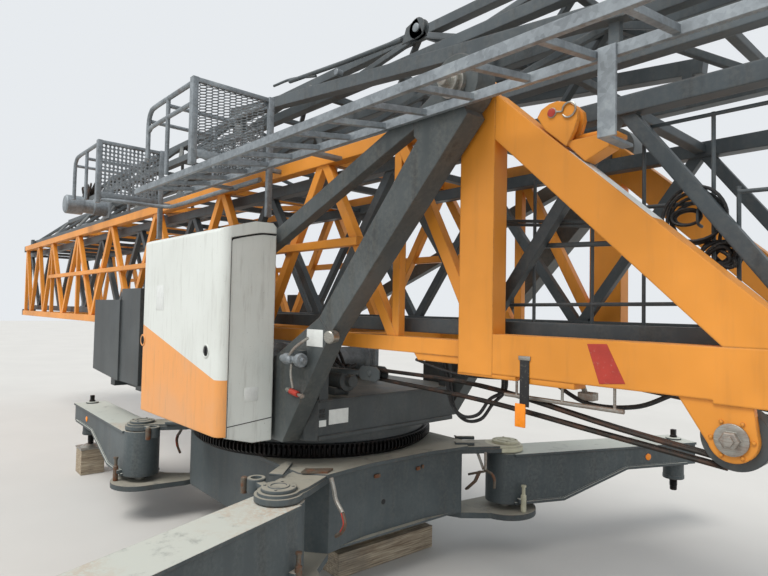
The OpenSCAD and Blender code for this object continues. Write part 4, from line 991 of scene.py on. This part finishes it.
def addTangle(mesh, centre, size, seed, turns=9, perTurn=26, radius=0.007):
    path = []                                   # one long strand wound round and over itself
    for i in range(turns * perTurn):
        a = 2 * math.pi * i / perTurn
        r = size * (0.72 + 0.28 * math.sin(0.37 * a + seed))
        path.append(Vector(centre) + Vector((r * math.cos(a + 0.5 * math.sin(0.23 * a + seed)),
                                             0.35 * size * math.sin(0.61 * a + 1.7 * seed),
                                             0.8 * r * math.sin(a + 0.3 * math.sin(0.41 * a)))))
    addTube(mesh, path, radius, 6)


hosePorts = ((-0.46, 1.37), (-0.41, 1.39), (-0.35, 1.39), (-0.30, 1.37))
makePieces("platform", {                        # on the platform's front, the A-frame's near leg and the deck
    "platformLips": [
        "platformPaint",
        (addBox, (0.8995, -0.615, 0.9365), (0.912, 0.615, 0.965), 0.003),
        (addBox, (0.8995, -0.615, 1.170), (0.908, 0.615, 1.184), 0.003),
        (addTube, [(1.142, -0.8005, 1.697), (1.238, -0.8005, 1.602)], 0.006, 6)],
    "blankPlates": [
        "whitePlate",
        (addBox, (0.8995, -0.536, 1.026), (0.9022, -0.382, 1.118), 0.001),
        (addBox, (0.8995, -0.610, 1.020), (0.9022, -0.556, 1.060), 0.001),
        (addBox, (1.024, -0.8022, 1.531), (1.180, -0.7995, 1.628), 0.001)],
    "valveBracket": ["platformPaint", (addBox, (0.925, -0.838, 1.405), (1.025, -0.798, 1.505), 0.006)],
    "valveBodies": [
        "galvanised",
        (addLathe, (0.860, -0.862, 1.452), toFoot,
         [(0, 0.014), (0.006, 0.021), (0.04, 0.021), (0.045, 0.033), (0.085, 0.033), (0.09, 0.022),
          (0.17, 0.022), (0.176, 0.038), (0.196, 0.041), (0.212, 0.038), (0.216, 0.016), (0.235, 0.015),
          (0.237, 0.0)], 18),
        (addLathe, (0.975, -0.862, 1.452), outward, [(0, 0.024), (0.035, 0.024), (0.043, 0.014), (0.044, 0.0)],
         14)],
    "legRods": [
        "machinedSteel",
        (addHose, [(0.954, -0.880, 1.458), (1.01, -0.872, 1.520), (1.092, -0.840, 1.580)], 0.009, 5),
        (addHose, [(0.963, -0.862, 1.425), (0.960, -0.862, 1.36), (0.978, -0.858, 1.286)], 0.007, 5),
        (addRod, (0.840, -0.812, 1.262), (1.000, -0.812, 1.240), 0.010, 8),
        (addRod, (0.85, -0.815, 1.2586), (0.85, -0.796, 1.2586), 0.014, 8),
        (addRod, (0.995, -0.815, 1.2387), (0.995, -0.796, 1.2387), 0.014, 8),
        (addLathe, (1.262, -0.782, 1.597), (0.25, -1, -0.1),
         [(0, 0.036), (0.05, 0.036), (0.056, 0.030), (0.057, 0.0)], 20),
        (addLathe, (2.120, -0.8395, 2.760), outward,
         [(0, 0.052), (0.006, 0.054), (0.012, 0.050), (0.012, 0.030), (0.045, 0.029), (0.050, 0.022),
          (0.051, 0.0)], 24)],
    "handleGrip": ["redPaint", (addRod, (0.885, -0.812, 1.2558), (0.965, -0.812, 1.2448), 0.017, 12)],
    "smallPlates": ["blackRubber", *[(addBox, (0.8995, y, z), (0.9025, y + 0.018, z + 0.022), 0.0008)
                                     for y in (-0.610, -0.585) for z in (1.075, 1.105)]],
    "powerBlock": [
        "platformPaint",
        (addBox, (0.30, -0.50, 1.184), (0.62, -0.22, 1.36), 0.008),
        (addBox, (0.38, -0.47, 1.358), (0.56, -0.27, 1.43), 0.006),
        (addBox, (0.70, -0.42, 1.184), (0.80, -0.30, 1.235), 0.004),
        (addLathe, (0.618, -0.36, 1.285), toFoot,
         [(0, 0.055), (0.01, 0.075), (0.05, 0.075), (0.055, 0.062), (0.22, 0.062), (0.225, 0.070),
          (0.25, 0.070), (0.26, 0.040), (0.30, 0.038), (0.302, 0.0)], 24),
        *[(addLathe, (0.558, y, z), toFoot, [(0, 0.016), (0.03, 0.016), (0.034, 0.011), (0.05, 0.011)], 8)
          for y, z in hosePorts]],
    "powerHoses": ["blackRubber", *[
        (addHose, [(0.59, y, z), (0.68, y - 0.01, z + 0.01 + 0.03 * k), (0.77, y, 1.44 - 0.03 * k),
                   (0.84, y + 0.02, 1.38), (0.82, -0.36, 1.352)], 0.011)
        for k, (y, z) in enumerate(hosePorts)]],
})
print("stage: platform details")

footLook = {
    "diagonal": ((2.235, 2.52), (3.155, 1.65), (3.42, 1.65), (2.235, 2.73)),
    "lug": ((2.452, 2.565), (2.471, 2.594), (2.509, 2.610), (2.546, 2.613), (2.600, 2.595), (2.631, 2.563),
            (2.637, 2.525), (2.623, 2.480), (2.588, 2.419), (2.491, 2.505)),
    "hangerFoot": ((2.571, 2.441), (2.726, 2.442), (2.766, 2.426), (2.762, 2.388), (2.664, 2.347)),
    # outline of a thin pale strip on the diagonal's top face, a painted highlight standing for the sky's
    # reflection
    "paintedSkyHighlight": ((2.60, 2.3965), (2.93, 2.0958), (2.93, 2.0978), (2.60, 2.3985)),
    "stripe": ((2.685, 1.633), (2.764, 1.637), (2.835, 1.496), (2.735, 1.485)),
    "clip": circle((2.600, 2.564), 0.030, 12, -150, 330) + [(2.543, 2.569)],
}
hangingHose = ((2.24, -0.575, 1.476), (2.20, -0.53, 1.385), (2.115, -0.51, 1.335), (2.045, -0.505, 1.255),
               (1.945, -0.50, 1.232), (1.87, -0.50, 1.285), (1.845, -0.51, 1.40), (1.84, -0.54, 1.535))
makePieces("outer_tower", {                     # the foot's diagonals, and what hangs on beam and sheave pin
    "footDiagonals": [
        "towerYellow",
        *[(addPlate, footLook["diagonal"], y, 0.095) for y in (-0.652, 0.557)],
        *[(addPlate, footLook["lug"], y, 0.022) for y in (-0.650, -0.598)],
        (addPlate, footLook["hangerFoot"], -0.640, 0.08),
        (addBox, (2.60, -0.600, 2.452), (2.75, -0.46, 2.470), 0.003)],
    "lugPin": [
        "machinedSteel",
        (addLathe, (2.523, -0.656, 2.569), inward,
         [(0, 0.018), (0.002, 0.021), (0.086, 0.021), (0.09, 0.016)], 18),
        (addHose, [(x, -0.6545, z) for x, z in footLook["clip"]], 0.0040, 3, 6)],
    "lugCap": ["redPaint", (addLathe, (2.523, -0.6562, 2.569), outward,
                            [(0, 0.018), (0.002, 0.018), (0.0035, 0.010), (0.0036, 0.0)], 16)],
    # painted highlight: a thin pale plate on the diagonal's top face stands for the sky's reflection there
    "paintedSkyHighlight": ["whitePlate", (addPlate, footLook["paintedSkyHighlight"], -0.649, 0.088)],
    "beamStripe": ["redPaint", (addPlate, footLook["stripe"], -0.6532, 0.0014)],
    "beamLedges": [
        "towerYellow",
        (addBox, (2.035, -0.650, 1.456), (2.357, -0.56, 1.477), 0.003),
        (addBox, (2.422, -0.650, 1.450), (2.631, -0.56, 1.477), 0.003),
        *[(addLathe, (x, -0.6435, z), outward, [(0, 0.007), (0.005, 0.007), (0.006, 0.0)], 8)
          for x, z in circle((3.18, 1.355), 0.062, 6)]],
    "beamStrap": ["blackRubber", (addBox, (2.383, -0.6565, 1.355), (2.428, -0.6515, 1.560), 0.001)],
    "beamHardware": [
        "machinedSteel",
        (addBox, (2.376, -0.6585, 1.548), (2.434, -0.6515, 1.566), 0.002),
        (addRod, (2.269, -0.600, 1.387), (2.806, -0.600, 1.385), 0.009, 10),
        *[(addRod, (x, -0.600, 1.386), (x, -0.600, 1.478), 0.006, 8) for x in (2.33, 2.55, 2.77)],
        (addBox, (2.585, -0.545, 1.398), (2.651, -0.495, 1.430), 0.003),
        (addBar, (2.618, -0.53, 1.415), (2.618, -0.575, 1.477), 0.02, 0.01, 0.002),
        (addLathe, (3.18, -0.6435, 1.355), outward,
         [(0, 0.050), (0.003, 0.052), (0.010, 0.052), (0.012, 0.048), (0.0122, 0.036)], 28),
        (addLathe, (3.18, -0.655, 1.355), outward,
         [(0, 0.030), (0.020, 0.030), (0.024, 0.026), (0.0242, 0.018), (0.034, 0.017), (0.035, 0.0)], 6)],
    "beamReflector": ["amberLens", (addBox, (2.362, -0.6600, 1.268), (2.413, -0.6520, 1.366), 0.003)],
    "clampedHoses": [
        "blackRubber",
        (addHose, hangingHose, 0.0085),
        (addHose, [(x, y + 0.024, z - 0.024 * (z < 1.34)) for x, y, z in hangingHose], 0.0085),
        (addHose, [(1.70, -0.585, 1.495), (1.95, -0.56, 1.445), (2.25, -0.555, 1.452), (2.40, -0.56, 1.478)],
         0.008, 8),
        (addHose, [(2.45, -0.56, 1.476), (2.62, -0.54, 1.39), (2.82, -0.54, 1.40), (2.98, -0.56, 1.474)],
         0.009, 8)],
}, [("footDiagonals", "foot_diagonals")])

reevingLook = {
    "start": (1.30, -0.579, 1.38), "end": (3.10, -0.579, 1.28), "rope": 0.0085, "sideways": 0.579,
    "falls": ((((1.36, 1.416), (2.114, 1.406), (2.774, 1.318), (3.118, 1.2795)), (-0.014, 0.014)),
              (((1.36, 1.366), (2.115, 1.339), (2.730, 1.285), (3.150, 1.248)), (-0.007, 0.018))),
    "cheek": ((1.277, 1.370), (1.300, 1.352), (1.42, 1.350), (1.449, 1.372), (1.449, 1.412), (1.42, 1.432),
              (1.300, 1.432), (1.277, 1.410)),
    "pulley": [(0, 0.010), (0.002, 0.016), (0.014, 0.016), (0.016, 0.036), (0.030, 0.030), (0.044, 0.030),
               (0.058, 0.036), (0.066, 0.016), (0.078, 0.016), (0.080, 0.010)],
}


def makeReeving(look):                          # ropes in two falls, from a block to the foot's sheave
    rope, block = bmesh.new(), bmesh.new()
    for y in (-look["sideways"], look["sideways"]):
        for fall, offsets in look["falls"]:
            for off in offsets:
                addHose(rope, [(x, y + off, z) for x, z in fall], look["rope"], 6, 6)
        for off in (-0.034, 0.028):
            addPlate(block, look["cheek"], y + off, 0.006)
        addLathe(block, (1.365, y - 0.040, 1.391), inward, look["pulley"], 24)
        addBar(block, (0.895, y, 1.372), (1.30, y, 1.388), 0.030, 0.016, 0.003)
    piece = finishPiece("reevingRopes", rope, "ropeSteel", None, ["erection_ropes"])
    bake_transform(piece)
    finishPiece("reevingBlocks", block, "platformPaint", "platform")


makeReeving(reevingLook)

coilLook = {
    "centre": (2.989, -0.400, 2.098), "radius": 0.086, "turns": 4, "cable": 0.0065,
    "loop": (2.957, -0.400, 2.121), "loopWide": 0.046, "loopTall": 0.026,
}


def coilTurn(look, k):                          # one turn of the coil, a little out of round
    x, y, z = look["centre"]
    r = look["radius"] + 0.009 * k
    return [(x + (r + 0.004 * math.sin(3 * a + k)) * math.cos(a), y - 0.012 * k + 0.006 * math.sin(2 * a + k),
             z + 0.01 * k + 0.9 * r * math.sin(a)) for a in (math.radians(12 * i) for i in range(31))]


def coilLoop(look, k):                          # a flat loop of the cable's end
    x, y, z = look["loop"]
    return [(x + (look["loopWide"] + 0.008 * k) * math.cos(a), y - 0.02 * k,
             z + (look["loopTall"] + 0.005 * k) * math.sin(a))
            for a in (math.radians(15 * i) for i in range(25))]


makePieces("inner_tower", {                     # rails inside the inner tower, the cable coil tied to them
    "innerRails": [
        "innerTowerPaint",
        *[(addRod, (x, -0.400, z), (x, -0.400, 1.66), 0.008, 8) for x, z in
          ((2.281, 2.370), (2.569, 2.122), (2.790, 2.505), (3.047, 2.508), (3.130, 2.218))],
        *[(addRod, (x0, -0.400, z0), (x1, y1, z1), 0.008, 8) for (x0, z0), (x1, y1, z1) in
          (((2.111, 2.194), (2.571, -0.400, 2.144)), ((2.112, 2.177), (2.571, -0.400, 2.126)),
           ((2.117, 1.783), (2.932, -0.400, 1.793)), ((2.782, 2.182), (3.055, -0.400, 2.172)),
           ((2.781, 2.503), (3.705, -0.417, 2.490)), ((3.124, 2.198), (3.705, -0.417, 2.175)))],
        (addBar, (2.299, -0.400, 2.058), (2.657, -0.400, 2.045), 0.02, 0.035, 0.003),
        (addHose, [(3.003, -0.400, 2.169), (3.003, -0.430, 2.139), (3.003, -0.430, 2.094),
                   (3.003, -0.390, 2.084)], 0.006, 4, 6)],
    "tiedCoil": [
        "blackRubber",
        *[(addTube, coilTurn(coilLook, k), coilLook["cable"], 6) for k in range(coilLook["turns"])],
        *[(addTube, coilLoop(coilLook, k), 0.006, 6) for k in (0, 1)],
        (addTangle, (3.075, -0.400, 1.969), 0.070, 1.3),
        (addHose, [(3.089, -0.420, 2.088), (3.071, -0.410, 2.034), (3.078, -0.400, 1.983)],
         coilLook["cable"], 6, 6)],
})

pendantEye = circle((1.425, 3.416), 0.062, 20)
pendantTongue = ((1.300, 3.356), (1.405, 3.356), (1.475, 3.366), (1.425, 3.476), (1.335, 3.446))
makePieces("jib_outer", {                       # pendant bars and their eye beside the folded jib
    "pendantBars": [
        "jibPaint",
        (addTube, [(0.031, -0.330, 3.493), (0.717, -0.330, 3.435), (1.280, -0.330, 3.399)], 0.016),
        (addHose, [(-0.203, -0.330, 3.523), (0.059, -0.330, 3.505), (0.377, -0.330, 3.436)], 0.010, 5),
        *[(addPlate, outline, y, 0.008) for y in (-0.350, -0.318) for outline in (pendantEye, pendantTongue)]],
    "pendantPins": [
        "galvanised",
        (addLathe, (1.425, -0.364, 3.416), inward,
         [(0, 0.018), (0.004, 0.026), (0.06, 0.026), (0.064, 0.018)], 20),
        (addLathe, (0.652, -0.360, 3.378), inward,
         [(0, 0.020), (0.004, 0.024), (0.05, 0.024), (0.054, 0.016)], 16)],
})
makePieces("jib_root", {
    "ropePile": ["ropeSteel", (addTangle, (-5.471, -0.250, 3.344), 0.22, 0.4, 12, 22, 0.014)],
    "jibMotor": [
        "galvanised",
        (addBox, (-4.213, -0.428, 2.84), (-3.953, -0.398, 3.18), 0.004),
        (addLathe, (-4.083, -0.40, 2.970), outward,
         [(0, 0.10), (0.18, 0.10), (0.19, 0.085), (0.30, 0.085), (0.31, 0.115), (0.49, 0.115), (0.505, 0.10),
          (0.507, 0.0)], 28)],
})
print("stage: tower and jib details")


def makeFloor(look):
    mesh = bmesh.new()
    for corner in ((-60, -60), (60, -60), (60, 60), (-60, 60)):
        mesh.verts.new((*corner, -0.002))
    mesh.faces.new(mesh.verts)
    data = bpy.data.meshes.new("floor")
    mesh.to_mesh(data)
    mesh.free()
    material, graph, place = newFinish("paleFloor")
    dark = tuple(channel * 0.96 for channel in look["floorColour"])
    colour = graph.mix(graph.noise(place, 0.8, 3.0).step(0.3, 0.7), dark, look["floorColour"])
    data.materials.append(close(material, graph, {"Base Color": colour, "Roughness": 0.9}))
    placeObject("floor", data)


def makeLight(look):
    world = bpy.data.worlds.new("studio")
    bpy.context.scene.world = world
    world.use_nodes = True
    world.node_tree.nodes.clear()
    graph = Graph(world.node_tree)
    path = graph.node("ShaderNodeLightPath", {}, {}, "Is Camera Ray")
    shown = path.most(path.out("Is Glossy Ray")).most(path.out("Is Transmission Ray"))
    light = graph.node("ShaderNodeBackground", {},
                       {"Color": look["skyColour"], "Strength": look["skyStrength"]})
    back = graph.node("ShaderNodeBackground", {}, {"Color": look["backdrop"], "Strength": 1.0})
    mixed = graph.node("ShaderNodeMixShader", {}, {0: shown, 1: light, 2: back})
    graph.node("ShaderNodeOutputWorld", {}, {"Surface": mixed})
    lamp = bpy.data.lights.new("softKey", "SUN")
    lamp.energy, lamp.angle = look["sunStrength"], math.radians(look["sunAngle"])
    lamp.color = look["sunColour"]
    placeObject("softKey", lamp).rotation_euler = Vector(look["sunFrom"]).to_track_quat("Z", "Y").to_euler()


makeFloor(studio)
makeLight(studio)
bpy.context.scene.view_settings.view_transform = "Standard"
